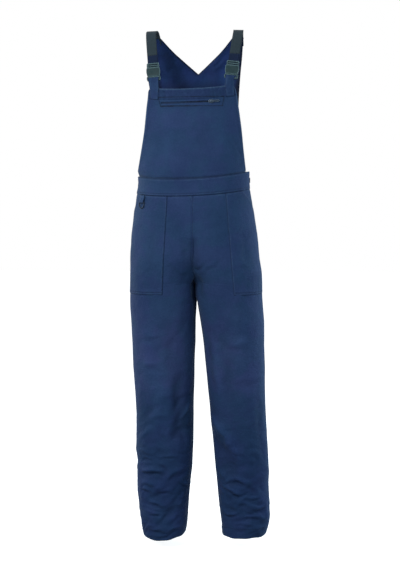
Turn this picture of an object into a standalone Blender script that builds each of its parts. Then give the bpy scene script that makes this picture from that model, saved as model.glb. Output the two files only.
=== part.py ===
"""Work dungarees in gabardine, hollow and filled out as if worn.

Metres, +Z up, front towards -Y. The origin is on the wearer's shoulders, midway between the
undersides of the two straps. Heights in the tables are measured up from the lowest hem.
"""

import math

import bmesh
import bpy
from mathutils import Matrix, Vector

# ---------------------------------------------------------------- driving dimensions

MM = 0.001
SHOULDER = 1.477  # height of the straps' undersides above the hem
CROTCH = 0.751
CROTCH_CURVE = 0.140  # height over which the crotch seam runs round into the centre seams
WAIST_BOTTOM = 1.0165
WAIST_TOP = 1.0676
BIB_TOP = 1.3165
NECK_POINT = 1.364  # lowest point of the V neck at the back
ARM_TOP = 1.463  # where the back's shoulder arms meet the webbing

PANEL_WALL = 1.6 * MM
BAND_OUT = 0.8 * MM  # how far the doubled waistband stands proud
BAND_WALL = 3.0 * MM
POCKET_WALL = 1.2 * MM
GAP = 0.3 * MM  # between neighbours
TRIM = 0.17 * MM  # each edge is drawn back this far, so that a seam is a gap wide
SIDE_SHIFT = 0.15 * MM  # each leg stands this far off the centre seam

ROUNDNESS = 2.3  # exponent of the super-ellipse that the rings follow

# height, centre, half width, front depth, back depth
TORSO = (
    (0.740, 0.0030, 0.1930, 0.112, 0.126),
    (0.790, 0.0010, 0.1905, 0.119, 0.133),
    (0.835, -0.0025, 0.1880, 0.123, 0.137),
    (0.890, -0.0040, 0.1840, 0.123, 0.134),
    (0.940, -0.0050, 0.1760, 0.121, 0.125),
    (0.991, -0.0050, 0.1685, 0.119, 0.116),
    (1.035, -0.0055, 0.1635, 0.118, 0.112),
    (1.075, -0.0055, 0.1640, 0.118, 0.111),
    (1.136, -0.0045, 0.1700, 0.119, 0.112),
    (1.192, -0.0035, 0.1760, 0.118, 0.113),
    (1.263, -0.0030, 0.1830, 0.116, 0.113),
    (1.3165, -0.0020, 0.1900, 0.115, 0.112),
    (1.367, 0.0000, 0.1900, 0.115, 0.110),
    (1.400, 0.0000, 0.1900, 0.115, 0.101),
    (1.430, 0.0000, 0.1900, 0.115, 0.084),
    (1.463, 0.0000, 0.1900, 0.115, 0.0515),
)

# height, left centre, left half width, right centre, right half width, front depth, back depth
LEGS = (
    (0.000, -0.0912, 0.0632, 0.1458, 0.0660, 0.0700, 0.0740),
    (0.028, -0.0905, 0.0672, 0.1484, 0.0692, 0.0715, 0.0755),
    (0.092, -0.0925, 0.0732, 0.1458, 0.0747, 0.0740, 0.0790),
    (0.155, -0.0912, 0.0773, 0.1414, 0.0761, 0.0765, 0.0825),
    (0.217, -0.0890, 0.0806, 0.1370, 0.0776, 0.0785, 0.0860),
    (0.279, -0.0885, 0.0832, 0.1327, 0.0791, 0.0805, 0.0880),
    (0.340, -0.0884, 0.0840, 0.1283, 0.0806, 0.0830, 0.0895),
    (0.400, -0.0895, 0.0852, 0.1239, 0.0820, 0.0860, 0.0905),
    (0.460, -0.0900, 0.0878, 0.1197, 0.0838, 0.0895, 0.0925),
    (0.520, -0.0912, 0.0896, 0.1163, 0.0865, 0.0930, 0.0960),
    (0.580, -0.0916, 0.0922, 0.1130, 0.0893, 0.0975, 0.1030),
    (0.639, -0.0926, 0.0938, 0.1075, 0.0924, 0.1030, 0.1115),
    (0.698, -0.0926, 0.0970, 0.1014, 0.0955, 0.1085, 0.1200),
    (0.751, -0.0936, 0.0963, 0.0992, 0.0963, 0.1132, 0.1275),
)

# height, rise per metre across to the right, dip at the middle of the front
WAIST_SET = (
    (0.721, 0.000, 0.000),
    (0.850, 0.010, 0.002),
    (0.960, 0.036, 0.008),
    (1.016, 0.040, 0.0115),
    (1.068, 0.045, 0.0140),
    (1.192, 0.038, 0.0050),
    (1.3165, 0.034, 0.0000),
    (1.463, 0.006, 0.000),
)

# Soft folds in the legs. Turn runs round a leg: 0 inseam, 0.25 front, 0.5 side seam, 0.75 back.
# leg, turn and height at one end, turn and height at the other, width, rise
FOLDS = (
    ("left", 0.20, 0.205, 0.37, 0.200, 0.016, 0.0035),
    ("left", 0.18, 0.150, 0.40, 0.135, 0.015, 0.0040),
    ("left", 0.14, 0.105, 0.33, 0.085, 0.016, 0.0040),
    ("left", 0.40, 0.072, 0.22, 0.058, 0.012, 0.0030),
    ("left", 0.08, 0.290, 0.27, 0.235, 0.020, 0.0035),
    ("left", 0.10, 0.400, 0.24, 0.330, 0.026, 0.0030),
    ("left", 0.92, 0.210, 0.65, 0.235, 0.022, 0.0045),
    ("left", 0.60, 0.150, 0.85, 0.120, 0.018, 0.0045),
    ("left", 0.90, 0.075, 0.66, 0.090, 0.016, 0.0035),
    ("left", 0.88, 0.480, 0.62, 0.450, 0.026, 0.0050),
    ("left", 0.60, 0.400, 0.86, 0.375, 0.022, 0.0045),
    ("right", 0.36, 0.185, 0.16, 0.170, 0.015, 0.0038),
    ("right", 0.12, 0.145, 0.30, 0.140, 0.014, 0.0035),
    ("right", 0.42, 0.130, 0.26, 0.120, 0.013, 0.0035),
    ("right", 0.22, 0.098, 0.40, 0.104, 0.015, 0.0040),
    ("right", 0.44, 0.058, 0.24, 0.050, 0.012, 0.0030),
    ("right", 0.05, 0.345, 0.22, 0.265, 0.024, 0.0040),
    ("right", 0.08, 0.440, 0.20, 0.370, 0.024, 0.0030),
    ("right", 0.62, 0.215, 0.90, 0.190, 0.022, 0.0045),
    ("right", 0.88, 0.135, 0.64, 0.155, 0.018, 0.0045),
    ("right", 0.64, 0.080, 0.90, 0.070, 0.016, 0.0035),
    ("right", 0.60, 0.470, 0.88, 0.440, 0.026, 0.0050),
    ("right", 0.88, 0.365, 0.62, 0.395, 0.022, 0.0045),
)
FOLD_GIRTH = 0.50  # a turn round the leg, as a length

# height, left edge, right edge
BIB_EDGES = (
    (1.0676, -0.1630, 0.1510),
    (1.093, -0.1580, 0.1485),
    (1.136, -0.1495, 0.1445),
    (1.192, -0.1400, 0.1395),
    (1.263, -0.1315, 0.1300),
    (1.291, -0.1275, 0.1262),
    (1.3165, -0.1255, 0.1190),
)
BIB_DIP = 0.0085  # of the top edge, at the middle
BIB_FOOT = WAIST_TOP + 2 * GAP  # where the bib and the high back start, over the waistband
BIB_ROWS = (
    BIB_FOOT, 1.082, 1.098, 1.118, 1.142, 1.170, 1.200,
    1.232, 1.263, 1.2725, 1.2775, 1.287, 1.302, BIB_TOP,
)
BIB_COLUMNS = (0.0, 0.035, 0.110, 0.195, 0.270, 0.370, 0.470, 0.570, 0.670, 0.765, 0.880, 0.97, 1.0)
ZIP_ROWS = (8, 11)  # rows of the bib that the zip tape lies behind
SLIT_ROW = 9
SLIT_COLUMNS = (3, 9)
TAPE_COLUMNS = (2, 10)
BAG_ROWS = (4, 11)
TAPE_WALL = 0.8 * MM
BAG_WALL = 0.9 * MM

# height, half breadth of the high back
BACK_EDGES = (
    (1.0676, 0.1580),
    (1.086, 0.1500),
    (1.108, 0.1400),
    (1.140, 0.1295),
    (1.190, 0.1215),
    (1.250, 0.1210),
    (1.310, 0.1235),
    (1.364, 0.1275),
    (1.400, 0.1315),
    (1.430, 0.1350),
    (1.463, 0.1415),
)
ARM_INNER = 0.1115  # inner edge of the shoulder arm where it meets the webbing
BACK_ROWS = (
    BIB_FOOT, 1.082, 1.097, 1.114, 1.140, 1.175, 1.215, 1.255, 1.295, 1.333,
    NECK_POINT, 1.384, 1.402, 1.420, 1.436, 1.450, ARM_TOP,
)
BACK_COLUMNS = 7

# Centre line of the right strap's outer face: height, depth, distance from the middle
STRAP = (
    (1.4630, 0.0411, 0.1265),
    (1.4737, 0.0220, 0.1268),
    (1.4790, 0.0000, 0.1268),
    (1.4715, -0.0220, 0.1260),
    (1.4465, -0.0430, 0.1230),
    (1.4070, -0.0620, 0.1180),
    (1.3830, -0.0722, 0.1150),
    (1.3718, -0.0769, 0.1134),
)
WEBBING_LAP = (1.440, 1.451, 1.4625)  # heights of the webbing's rows behind the back's arm
LAP_GAP = 0.5 * MM
WEBBING_END = 5  # index of the row above where the webbing meets the strap end
BUCKLE_ROW = 6
STRAP_WIDTH = 29.5 * MM
WEBBING_WALL = 2.0 * MM
STRAP_TILT = 0.05  # fall of a strap per metre of its width, outwards

TAB_ACROSS = 0.1075  # of a strap tab's middle, from the middle of the bib
TAB_WIDTH = 23.0 * MM
TAB_WALL = 1.4 * MM
TAB_FOOT = 1.284  # how far down the bib's face the strap tab is sewn
TAB_FACE_ROWS = (TAB_FOOT, 1.300, BIB_TOP)
TAB_REAR_ROWS = (BIB_TOP, 1.302, 1.292)
TAB_LIFT = 0.45 * MM  # between the tab and the bib
TAB_TURN = 3.4 * MM  # radius of the loop round the buckle's bar

# Buckle, in its own frame: along the strap from its top end, across, and out from the body
BUCKLE_HALF = 19.5 * MM
LADDER_LENGTH = 15.5 * MM
SOCKET_LENGTH = 41.0 * MM
PLUG_LENGTH = 55.5 * MM
BUCKLE_MIDDLE = 2.6 * MM  # height of its middle plane over the strap
LADDER_THICK = 4.4 * MM
BODY_THICK = 8.8 * MM
FRAME_THICK = 4.4 * MM
SLOT_STARTS = (3.2 * MM, 9.4 * MM)
SLOT_LENGTH = 3.2 * MM
SLOT_HALF = 14.6 * MM
MOUTH_HALF = 13.4 * MM  # of the hollow that takes the plug's prongs
MOUTH_THICK = 4.6 * MM
PRONGS = ((-12.8, -8.6), (-2.4, 2.4), (8.6, 12.8))  # across, in millimetres
PRONG_THICK = 3.4 * MM
BAR_MIDDLE = PLUG_LENGTH - 2.2 * MM  # of the bar that holds the tab

# across and along, in millimetres: right halves of the ladder and the socket, from the top
LADDER_HALF = ((16.2, 0.0), (17.4, 2.0), (18.2, 17.5))
SOCKET_HALF = ((17.2, 15.5), (18.9, 18.0), (19.5, 23.5), (19.5, 30.5), (18.6, 35.5), (16.6, 41.0))
PLUG_HALF = ((16.0, 41.3), (18.6, 42.5), (19.5, 45.3), (19.5, 50.3), (18.0, 53.9), (15.4, 55.5))

# Zip slider, in its own frame: along the zip, up the bib, and out from it
SLIDER_ACROSS = 0.0545
ZIP_HEIGHT = 1.275
PLATE_LOW = 0.5 * MM
PLATE_THICK = 1.3 * MM
PLATE_TOP = PLATE_LOW + PLATE_THICK
PLATE_HALF = ((-6.8, 3.0), (-4.4, 4.8), (4.6, 4.8), (6.8, 2.6))
ARCH_HALF = (3.4 * MM, 1.0 * MM)
ARCH_RISE = 3.1 * MM
PIVOT_HEIGHT = PLATE_TOP + 1.1 * MM
PULL_THICK = 1.1 * MM
PULL_HALF = ((-0.6, 3.4), (6.4, 3.4), (8.4, 2.6), (19.0, 3.3), (23.0, 2.4), (24.0, 0.6))
PULL_WINDOW = ((0.6 * MM, 4.8 * MM), (-1.6 * MM, 1.6 * MM))

POCKET_BOTTOM = 0.721
# distance of a pocket's inner edge from the middle, at the waistband and at the pocket's bottom
POCKET_EDGES = {-1: (0.0690, 0.0845), 1: (0.0945, 0.1200)}
MOUTH_BOTTOM = 0.958
MOUTH_TURN = 0.333

LEG_ROWS = 28  # between the hem and the top of the thigh
THIGH_TOP = 0.700
EDGE_CELLS = 3  # columns between the centre, pocket edge, pocket mouth and side seam
BACK_CELLS = 9
CURVE_ROWS = 6

RING_TURN = 0.305  # where the D-ring hangs, round the left side
RING_TAB_WIDTH = 19.0 * MM
RING_TAB_LENGTH = 21.5 * MM
RING_SPAN = 28.0 * MM
RING_DROP = 21.0 * MM
RING_WIRE = 1.7 * MM  # radius
RING_STANDOFF = 5.3 * MM  # of the ring's bar from the cloth

RING_TAB_FALL = 6.0 * MM  # over which the ring's loop leaves the waistband
RING_TAB_WALL = 0.9 * MM
LOOP_STEPS = 6  # round half a turn of a cloth loop
BOW_STEPS = 12  # round the ring's bow
BUTTON_TURN = 0.515
BUTTON_RADIUS = 7.5 * MM
BUTTON_THICK = 2.6 * MM

NAVY = (0.022, 0.047, 0.115)
NAVY_DEEP = (0.016, 0.032, 0.085)
OLIVE_BLACK = (0.022, 0.034, 0.034)
PLASTIC = (0.030, 0.045, 0.045)
STEEL = (0.42, 0.45, 0.50)


# ---------------------------------------------------------------- tables and curves


def along(table, height, column):
    """Reads a column of a table at any height, on a smooth curve through its rows."""
    heights = [row[0] for row in table]
    values = [row[column] for row in table]
    if height <= heights[0]:
        return values[0]
    if height >= heights[-1]:
        return values[-1]
    low = max(i for i in range(len(heights) - 1) if heights[i] <= height)
    span = heights[low + 1] - heights[low]
    part = (height - heights[low]) / span

    def slope(i):
        before = max(i - 1, 0)
        after = min(i + 1, len(heights) - 1)
        return (values[after] - values[before]) / (heights[after] - heights[before])

    start, end = values[low], values[low + 1]
    start_slope, end_slope = slope(low) * span, slope(low + 1) * span
    square, cube = part * part, part * part * part
    return (
        (2 * cube - 3 * square + 1) * start
        + (cube - 2 * square + part) * start_slope
        + (3 * square - 2 * cube) * end
        + (cube - square) * end_slope
    )


def power(value, exponent):
    """A signed power, for super-ellipses."""
    return math.copysign(abs(value) ** exponent, value)


def blend(start, end, part):
    return start + (end - start) * part


def to_world(point):
    """From a height above the hem to the part's own frame."""
    return Vector((point[0], point[1], point[2] - SHOULDER))


def set_waist(point):
    """Tips the waist up to the right and lets it dip in front."""
    height = point.z
    front = min(max(-point.y / along(TORSO, WAIST_TOP, 3), 0.0), 1.0)
    rise = along(WAIST_SET, height, 1) * point.x
    dip = along(WAIST_SET, height, 2) * front * front
    return Vector((point.x, point.y, height + rise - dip))


# ---------------------------------------------------------------- the form


def torso_point(angle, height):
    """A point of the ring round the body. Angle 0 is the middle of the front, +90 the right side."""
    centre, half = along(TORSO, height, 1), along(TORSO, height, 2)
    depth = along(TORSO, height, 3 if math.cos(angle) > 0 else 4)
    exponent = 2 / ROUNDNESS
    x = centre + half * power(math.sin(angle), exponent)
    y = -depth * power(math.cos(angle), exponent)
    return Vector((x, y, height))


def torso_angle(across, height):
    """The angle, in the front half, at which the ring is this far across."""
    centre, half = along(TORSO, height, 1), along(TORSO, height, 2)
    share = min(max((across - centre) / half, -1.0), 1.0)
    return math.asin(power(share, ROUNDNESS / 2))


def fold_rise(side, turn, height):
    """How far the folds lift the cloth here."""
    name = "left" if side < 0 else "right"
    total = 0.0
    for leg, turn_a, height_a, turn_b, height_b, width, rise in FOLDS:
        if leg != name:
            continue
        run = Vector(((turn_b - turn_a) * FOLD_GIRTH, height_b - height_a))
        here = Vector(((turn - turn_a) * FOLD_GIRTH, height - height_a))
        part = min(max(here.dot(run) / run.length_squared, 0.0), 1.0)
        bow = math.sin(math.pi * part) * 0.3 * width
        offset = here - run * part
        distance = math.hypot(offset.x, offset.y - bow)
        taper = 0.35 + 0.65 * math.sin(math.pi * min(max(part, 0.06), 0.94))
        total += rise * taper * math.exp(-((distance / width) ** 2))
    return total


def leg_point(side, turn, height):
    """A point of the ring round one leg. Above the crotch the rings take half of the hips each."""
    if height >= CROTCH:
        half = along(TORSO, height, 2) / 2
        centre = along(TORSO, height, 1) + side * half
        front, back = along(TORSO, height, 3), along(TORSO, height, 4)
    else:
        first = 1 if side < 0 else 3
        centre, half = along(LEGS, height, first), along(LEGS, height, first + 1)
        front, back = along(LEGS, height, 5), along(LEGS, height, 6)
    exponent = 2 / ROUNDNESS
    around = 2 * math.pi * turn
    depth = front if math.sin(around) > 0 else back
    x = centre - side * half * power(math.cos(around), exponent)
    y = -depth * power(math.sin(around), exponent)
    out = Vector((x - centre, y, 0.0)).normalized()
    return Vector((x, y, height)) + out * fold_rise(side, turn, height)


def trouser_point(side, turn, height):
    """A point of one leg and its half of the hips. Turn 0 is the centre front, 1 the centre back.

    Above the crotch the centre seams open in a U. The leg's ring then starts where the U is, and
    its surface passes into the ring round the hips as the U opens.
    """
    if height <= CROTCH:
        return leg_point(side, turn, height)
    up = min((height - CROTCH) / CROTCH_CURVE, 1.0)
    opened = math.sqrt(1 - (1 - up) ** 2)
    start = math.asin(opened ** (ROUNDNESS / 2)) / (2 * math.pi)
    from_centre = 2 * min(turn, 1 - turn)
    slid = blend(start, 0.5, from_centre)
    leg = leg_point(side, slid if turn <= 0.5 else 1 - slid, height)
    seam = along(TORSO, CROTCH, 1)
    bridge = max(1 - 2 * from_centre, 0.0) ** 2
    leg.x += (seam - leg_point(side, start, height).x) * bridge
    middle = torso_angle(seam, height)
    body = torso_point(blend(middle, side * math.pi, turn), height)
    return leg.lerp(body, up * up * (3 - 2 * up))


def turn_at(side, across, height):
    """The turn, on the front, at which a leg is this far across."""
    low, high = 0.0, 0.5
    for _ in range(30):
        middle = (low + high) / 2
        if side * (trouser_point(side, middle, height).x - across) < 0:
            low = middle
        else:
            high = middle
    return (low + high) / 2


def pocket_edge_turn(side, height):
    """Follows the pocket's straight inner edge, and fades to an even spacing below the pocket."""
    inside = min(max(height, POCKET_BOTTOM), WAIST_BOTTOM)
    part = (WAIST_BOTTOM - inside) / (WAIST_BOTTOM - POCKET_BOTTOM)
    here = turn_at(side, side * blend(*POCKET_EDGES[side], part), inside)
    fade = min(max((POCKET_BOTTOM - height) / 0.3, 0.0), 1.0)
    return blend(here, 0.19, fade * fade * (3 - 2 * fade))


def mouth_turn(edge, height):
    """The column that ends the pocket's mouth, midway between its neighbours lower down."""
    part = min(max((MOUTH_BOTTOM - height) / (MOUTH_BOTTOM - POCKET_BOTTOM), 0.0), 1.0)
    return blend(MOUTH_TURN, (edge + 0.5) / 2, part)


def column_turns(side, height):
    """Turns of all columns of the form at this height."""
    edge = pocket_edge_turn(side, height)
    stops = (0.0, edge, mouth_turn(edge, height), 0.5)
    turns = [0.0]
    for start, end in zip(stops, stops[1:]):
        turns += [blend(start, end, (i + 1) / EDGE_CELLS) for i in range(EDGE_CELLS)]
    turns += [blend(0.5, 1.0, (i + 1) / BACK_CELLS) for i in range(BACK_CELLS)]
    return turns


def form_heights():
    """Heights of the form's rows, closer together round the crotch."""
    rows = [THIGH_TOP * i / LEG_ROWS for i in range(LEG_ROWS + 1)]
    rows += [POCKET_BOTTOM, (POCKET_BOTTOM + CROTCH) / 2, CROTCH]
    for i in range(CURVE_ROWS):
        rows.append(CROTCH + CROTCH_CURVE * (1 - math.cos(math.pi / 2 * (i + 1) / CURVE_ROWS)))
    rows.append((rows[-1] + MOUTH_BOTTOM) / 2)
    rows += [blend(MOUTH_BOTTOM, WAIST_BOTTOM, i / EDGE_CELLS) for i in range(EDGE_CELLS + 1)]
    rows += [(WAIST_BOTTOM + WAIST_TOP) / 2, WAIST_TOP]
    return rows


HEIGHTS = form_heights()
CROTCH_ROW = HEIGHTS.index(CROTCH)
POCKET_ROW = HEIGHTS.index(POCKET_BOTTOM)
MOUTH_ROW = HEIGHTS.index(MOUTH_BOTTOM)
WAIST_ROW = HEIGHTS.index(WAIST_BOTTOM)
SIDE_COLUMN = 3 * EDGE_CELLS
LAST_COLUMN = SIDE_COLUMN + BACK_CELLS


def form_key(side, row, column):
    """Names a point of the form. The two sides share the centre seams above the crotch."""
    if column in (0, LAST_COLUMN):
        if row <= CROTCH_ROW:
            return (side, row, 0)
        return (0, row, column)
    return (side, row, column)


def form_points():
    points = {}
    for side in (-1, 1):
        for row, height in enumerate(HEIGHTS):
            for column, turn in enumerate(column_turns(side, height)):
                points[form_key(side, row, column)] = set_waist(trouser_point(side, turn, height))
    return points


def form_faces(side, rows, columns):
    """Two triangles for each cell, split the way the pocket mouths run."""
    faces = []
    for row in range(*rows):
        for column in range(*columns):
            low = form_key(side, row, column)
            low_next = form_key(side, row, column + 1)
            high = form_key(side, row + 1, column)
            high_next = form_key(side, row + 1, column + 1)
            pair = [(low, low_next, high), (low_next, high_next, high)]
            faces += pair if side > 0 else [face[::-1] for face in pair]
    return faces


# ---------------------------------------------------------------- sewing walls


def point_normals(points, faces):
    """Outward direction at each point of a surface given by named points and faces."""
    bm = bmesh.new()
    verts = {}
    for face in faces:
        for key in face:
            if key not in verts:
                verts[key] = bm.verts.new(points[key])
        bm.faces.new([verts[key] for key in face])
    bm.normal_update()
    normals = {key: vert.normal.copy() for key, vert in verts.items()}
    bm.free()
    return normals


def open_edges(faces):
    """Directed edges that only one face has."""
    edges = set()
    for face in faces:
        edges |= set(zip(face, face[1:] + face[:1]))
    return [(a, b) for a, b in edges if (b, a) not in edges]


def drawn_back(points, faces, normals, distance):
    """The points, with those along an open edge moved inwards by a distance."""
    inwards = {}
    for a, b in sorted(open_edges(faces), key=str):
        run = (points[b] - points[a]).normalized()
        for key in (a, b):
            inwards.setdefault(key, []).append(normals[key].cross(run).normalized())
    moved = dict(points)
    for key, ways in inwards.items():
        first, last = ways[0], ways[-1]
        moved[key] = points[key] + (first + last) * (distance / max(1 + first.dot(last), 0.3))
    return moved


def principled(name, colour, roughness, metallic=0.0):
    material = bpy.data.materials.get(name) or bpy.data.materials.new(name)
    material.use_nodes = True
    shader = material.node_tree.nodes["Principled BSDF"]
    shader.inputs["Base Color"].default_value = (*colour, 1.0)
    shader.inputs["Roughness"].default_value = roughness
    shader.inputs["Metallic"].default_value = metallic
    return material


def add_object(name, bm, colour, roughness=0.85, metallic=0.0, place=None):
    """Makes a bmesh an object with its own material, placed by a matrix if one is given."""
    mesh = bpy.data.meshes.new(name)
    bm.to_mesh(mesh)
    bm.free()
    mesh.materials.append(principled(name, colour, roughness, metallic))
    obj = bpy.data.objects.new(name, mesh)
    bpy.context.collection.objects.link(obj)
    if place is not None:
        obj.matrix_world = place
    return obj


def sew_wall(name, points, normals, faces, outer, inner, colour, trim=TRIM, shift=0.0):
    """A cloth wall: the surface moved out to both of its faces, and closed along its edges."""
    points = drawn_back(points, faces, normals, trim)
    bm = bmesh.new()
    front, back = {}, {}
    for face in faces:
        for key in face:
            if key in front:
                continue
            base = points[key] + Vector((shift, 0.0, 0.0))
            front[key] = bm.verts.new(to_world(base + normals[key] * outer))
            back[key] = bm.verts.new(to_world(base + normals[key] * inner))
    for face in faces:
        bm.faces.new([front[key] for key in face])
        bm.faces.new([back[key] for key in reversed(face)])
    for a, b in sorted(open_edges(faces), key=str):
        bm.faces.new((front[b], front[a], back[a], back[b]))
    return add_object(name, bm, colour)


def grid_faces(rows, columns, flip=False):
    """Triangles over a plain grid of (row, column) keys."""
    faces = []
    for row in range(*rows):
        for column in range(*columns):
            low, low_next = (row, column), (row, column + 1)
            high, high_next = (row + 1, column), (row + 1, column + 1)
            pair = [(low, low_next, high), (low_next, high_next, high)]
            faces += [face[::-1] for face in pair] if flip else pair
    return faces


# ---------------------------------------------------------------- trousers


def make_trousers(points, normals):
    sides = (("left", -1), ("right", 1))
    for name, side in sides:
        shift = side * SIDE_SHIFT
        front = form_faces(side, (0, WAIST_ROW), (0, SIDE_COLUMN))
        back = form_faces(side, (0, WAIST_ROW), (SIDE_COLUMN, LAST_COLUMN))
        sew_wall(f"front_leg_{name}", points, normals, front, 0.0, -PANEL_WALL, NAVY, shift=shift)
        sew_wall(f"back_leg_{name}", points, normals, back, 0.0, -PANEL_WALL, NAVY, shift=shift)
        make_hip_pocket(name, side, points, normals)


def make_hip_pocket(name, side, points, normals):
    """A patch from the waistband to the thigh, its upper outer corner cut slanting for the hand."""
    columns = (EDGE_CELLS, SIDE_COLUMN)
    faces = form_faces(side, (POCKET_ROW, WAIST_ROW), columns)

    def under_mouth(key):
        _, row, column = key
        return row <= MOUTH_ROW or row - MOUTH_ROW + column - 2 * EDGE_CELLS <= EDGE_CELLS

    faces = [face for face in faces if all(under_mouth(key) for key in face)]
    outer = GAP + POCKET_WALL
    sew_wall(f"hip_pocket_{name}", points, normals, faces, outer, GAP, NAVY, shift=side * SIDE_SHIFT)


def make_waistband(points, normals):
    """The front length laps one column past each side, where it buttons."""
    rows = (WAIST_ROW, len(HEIGHTS) - 1)
    lap = SIDE_COLUMN + 1
    front, back = [], []
    for side in (-1, 1):
        front += form_faces(side, rows, (0, lap))
        back += form_faces(side, rows, (lap, LAST_COLUMN))
    inner = BAND_OUT - BAND_WALL
    sew_wall("waistband_front", points, normals, front, BAND_OUT, inner, NAVY)
    sew_wall("waistband_back", points, normals, back, BAND_OUT, inner, NAVY)


# ---------------------------------------------------------------- bib and zip pocket


def bib_point(row_height, share):
    """A point of the bib: its height, and its share of the way from the left edge to the right."""
    start = torso_angle(along(BIB_EDGES, row_height, 1), row_height)
    end = torso_angle(along(BIB_EDGES, row_height, 2), row_height)
    point = set_waist(torso_point(blend(start, end, share), row_height))
    up = (row_height - WAIST_TOP) / (BIB_TOP - WAIST_TOP)
    point.z -= BIB_DIP * up**3 * (1 - (2 * share - 1) ** 2)
    return point


def bib_out(row_height, share):
    """Outward direction of the bib's face."""
    step = 0.01
    across = bib_point(row_height, share + step) - bib_point(row_height, share - step)
    up = bib_point(row_height, share) - bib_point(row_height - step, share)
    return across.cross(up).normalized()


def bib_share(row_height, across):
    """The share at which the bib is this far across."""
    start = torso_angle(along(BIB_EDGES, row_height, 1), row_height)
    end = torso_angle(along(BIB_EDGES, row_height, 2), row_height)
    return (torso_angle(across, row_height) - start) / (end - start)


def make_bib():
    points = {}
    for row, height in enumerate(BIB_ROWS):
        for column, share in enumerate(BIB_COLUMNS):
            points[(row, column)] = bib_point(height, share)
    rows, columns = (0, len(BIB_ROWS) - 1), (0, len(BIB_COLUMNS) - 1)
    everywhere = grid_faces(rows, columns)
    normals = point_normals(points, everywhere)
    slit = set(grid_faces((SLIT_ROW, SLIT_ROW + 1), SLIT_COLUMNS))
    faces = [face for face in everywhere if face not in slit]
    sew_wall("bib", points, normals, faces, 0.0, -PANEL_WALL, NAVY)
    tape_outer = -PANEL_WALL - GAP
    tape_inner = tape_outer - TAPE_WALL
    tape = grid_faces(ZIP_ROWS, TAPE_COLUMNS)
    sew_wall("zip_tape", points, normals, tape, tape_outer, tape_inner, NAVY_DEEP)
    bag_outer = tape_inner - GAP
    bag = grid_faces(BAG_ROWS, TAPE_COLUMNS)
    sew_wall("zip_pocket_bag", points, normals, bag, bag_outer, bag_outer - BAG_WALL, NAVY_DEEP)


# ---------------------------------------------------------------- high back


def back_key(side, row, column):
    """The two sides share the centre line of the back up to the V."""
    shared = column == 0 and BACK_ROWS[row] <= NECK_POINT
    return (0 if shared else side, row, column)


def back_inner(side, height):
    """How far across the back starts: at the middle, then along the V."""
    if height <= NECK_POINT:
        return along(TORSO, height, 1)
    return side * ARM_INNER * (height - NECK_POINT) / (ARM_TOP - NECK_POINT)


def make_back_panel():
    points, faces = {}, []
    for side in (-1, 1):
        for row, height in enumerate(BACK_ROWS):
            start = torso_angle(back_inner(side, height), height)
            end = torso_angle(side * along(BACK_EDGES, height, 1), height)
            for column in range(BACK_COLUMNS + 1):
                angle = math.pi - blend(start, end, column / BACK_COLUMNS)
                points[back_key(side, row, column)] = set_waist(torso_point(angle, height))
        for row in range(len(BACK_ROWS) - 1):
            for column in range(BACK_COLUMNS):
                low = back_key(side, row, column)
                low_next = back_key(side, row, column + 1)
                high = back_key(side, row + 1, column)
                high_next = back_key(side, row + 1, column + 1)
                pair = [(low, low_next, high), (low_next, high_next, high)]
                faces += pair if side < 0 else [face[::-1] for face in pair]
    normals = point_normals(points, faces)
    sew_wall("back_panel", points, normals, faces, 0.0, -PANEL_WALL, NAVY)


# ---------------------------------------------------------------- straps


def strap_point(place):
    """A point of the strap's centre line, by its place along the table's rows."""
    rows = [(index, *row) for index, row in enumerate(STRAP)]
    return Vector((along(rows, place, 3), along(rows, place, 2), along(rows, place, 1)))


def strap_rows(side, places):
    """Three points across the strap at each place. It falls outwards on the shoulder."""
    rows = []
    step = 0.05
    for place in places:
        centre = mirrored(strap_point(place), side)
        run = mirrored(strap_point(place + step) - strap_point(place - step), side).normalized()
        fall = STRAP_TILT * max(1 - place / WEBBING_END, 0.0)
        across = Vector((1.0, 0.0, -side * fall))
        across = (across - run * across.dot(run)).normalized()
        rows.append([centre + across * (STRAP_WIDTH * (column - 1) / 2) for column in range(3)])
    return rows


def back_at(side, height, across):
    """The outer face of the high back, this far from the middle."""
    angle = math.pi - torso_angle(side * across, height)
    return torso_point(angle, height)


def back_out(side, height, across):
    """Outward direction of the high back's face."""
    step = 0.002
    run = back_at(side, height, across + step) - back_at(side, height, across - step)
    up = back_at(side, height, across) - back_at(side, height - step, across)
    return (up.cross(run) * side).normalized()


def lap_rows(side):
    """Rows of webbing tucked behind the end of the back's shoulder arm."""
    rows = []
    for height in WEBBING_LAP:
        row = []
        for column in range(3):
            across = STRAP[0][2] + side * STRAP_WIDTH * (column - 1) / 2
            depth = PANEL_WALL + LAP_GAP
            row.append(back_at(side, height, across) - back_out(side, height, across) * depth)
        rows.append(row)
    return rows


def make_strap(name, side):
    """Elastic webbing over the shoulder, and the cloth end that goes behind the buckle."""
    lengths = (
        (f"webbing_{name}", 1, WEBBING_END, 14, OLIVE_BLACK, lap_rows(side)),
        (f"strap_end_{name}", WEBBING_END, len(STRAP) - 1, 5, NAVY, []),
    )
    for node, start, end, cells, colour, lap in lengths:
        rows = lap + strap_rows(side, [blend(start, end, i / cells) for i in range(cells + 1)])
        points = {}
        for row, across in enumerate(rows):
            for column, point in enumerate(across):
                points[(row, column)] = set_waist(point)
        faces = grid_faces((0, len(rows) - 1), (0, 2), flip=True)
        normals = point_normals(points, faces)
        sew_wall(node, points, normals, faces, 0.0, -WEBBING_WALL, colour)


def buckle_place(side):
    """The buckle's frame: X across to the left, Y down along the strap, Z out from the body."""
    top = set_waist(mirrored(strap_point(BUCKLE_ROW), side))
    down = (bib_at(side, BIB_TOP) - top).normalized()
    across = Vector((-1.0, 0.0, 0.0))
    across = (across - down * across.dot(down)).normalized()
    place = Matrix((across, down, across.cross(down))).transposed().to_4x4()
    place.translation = to_world(top)
    return place


def mirrored(point, side):
    return Vector((side * point.x, point.y, point.z))


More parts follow.
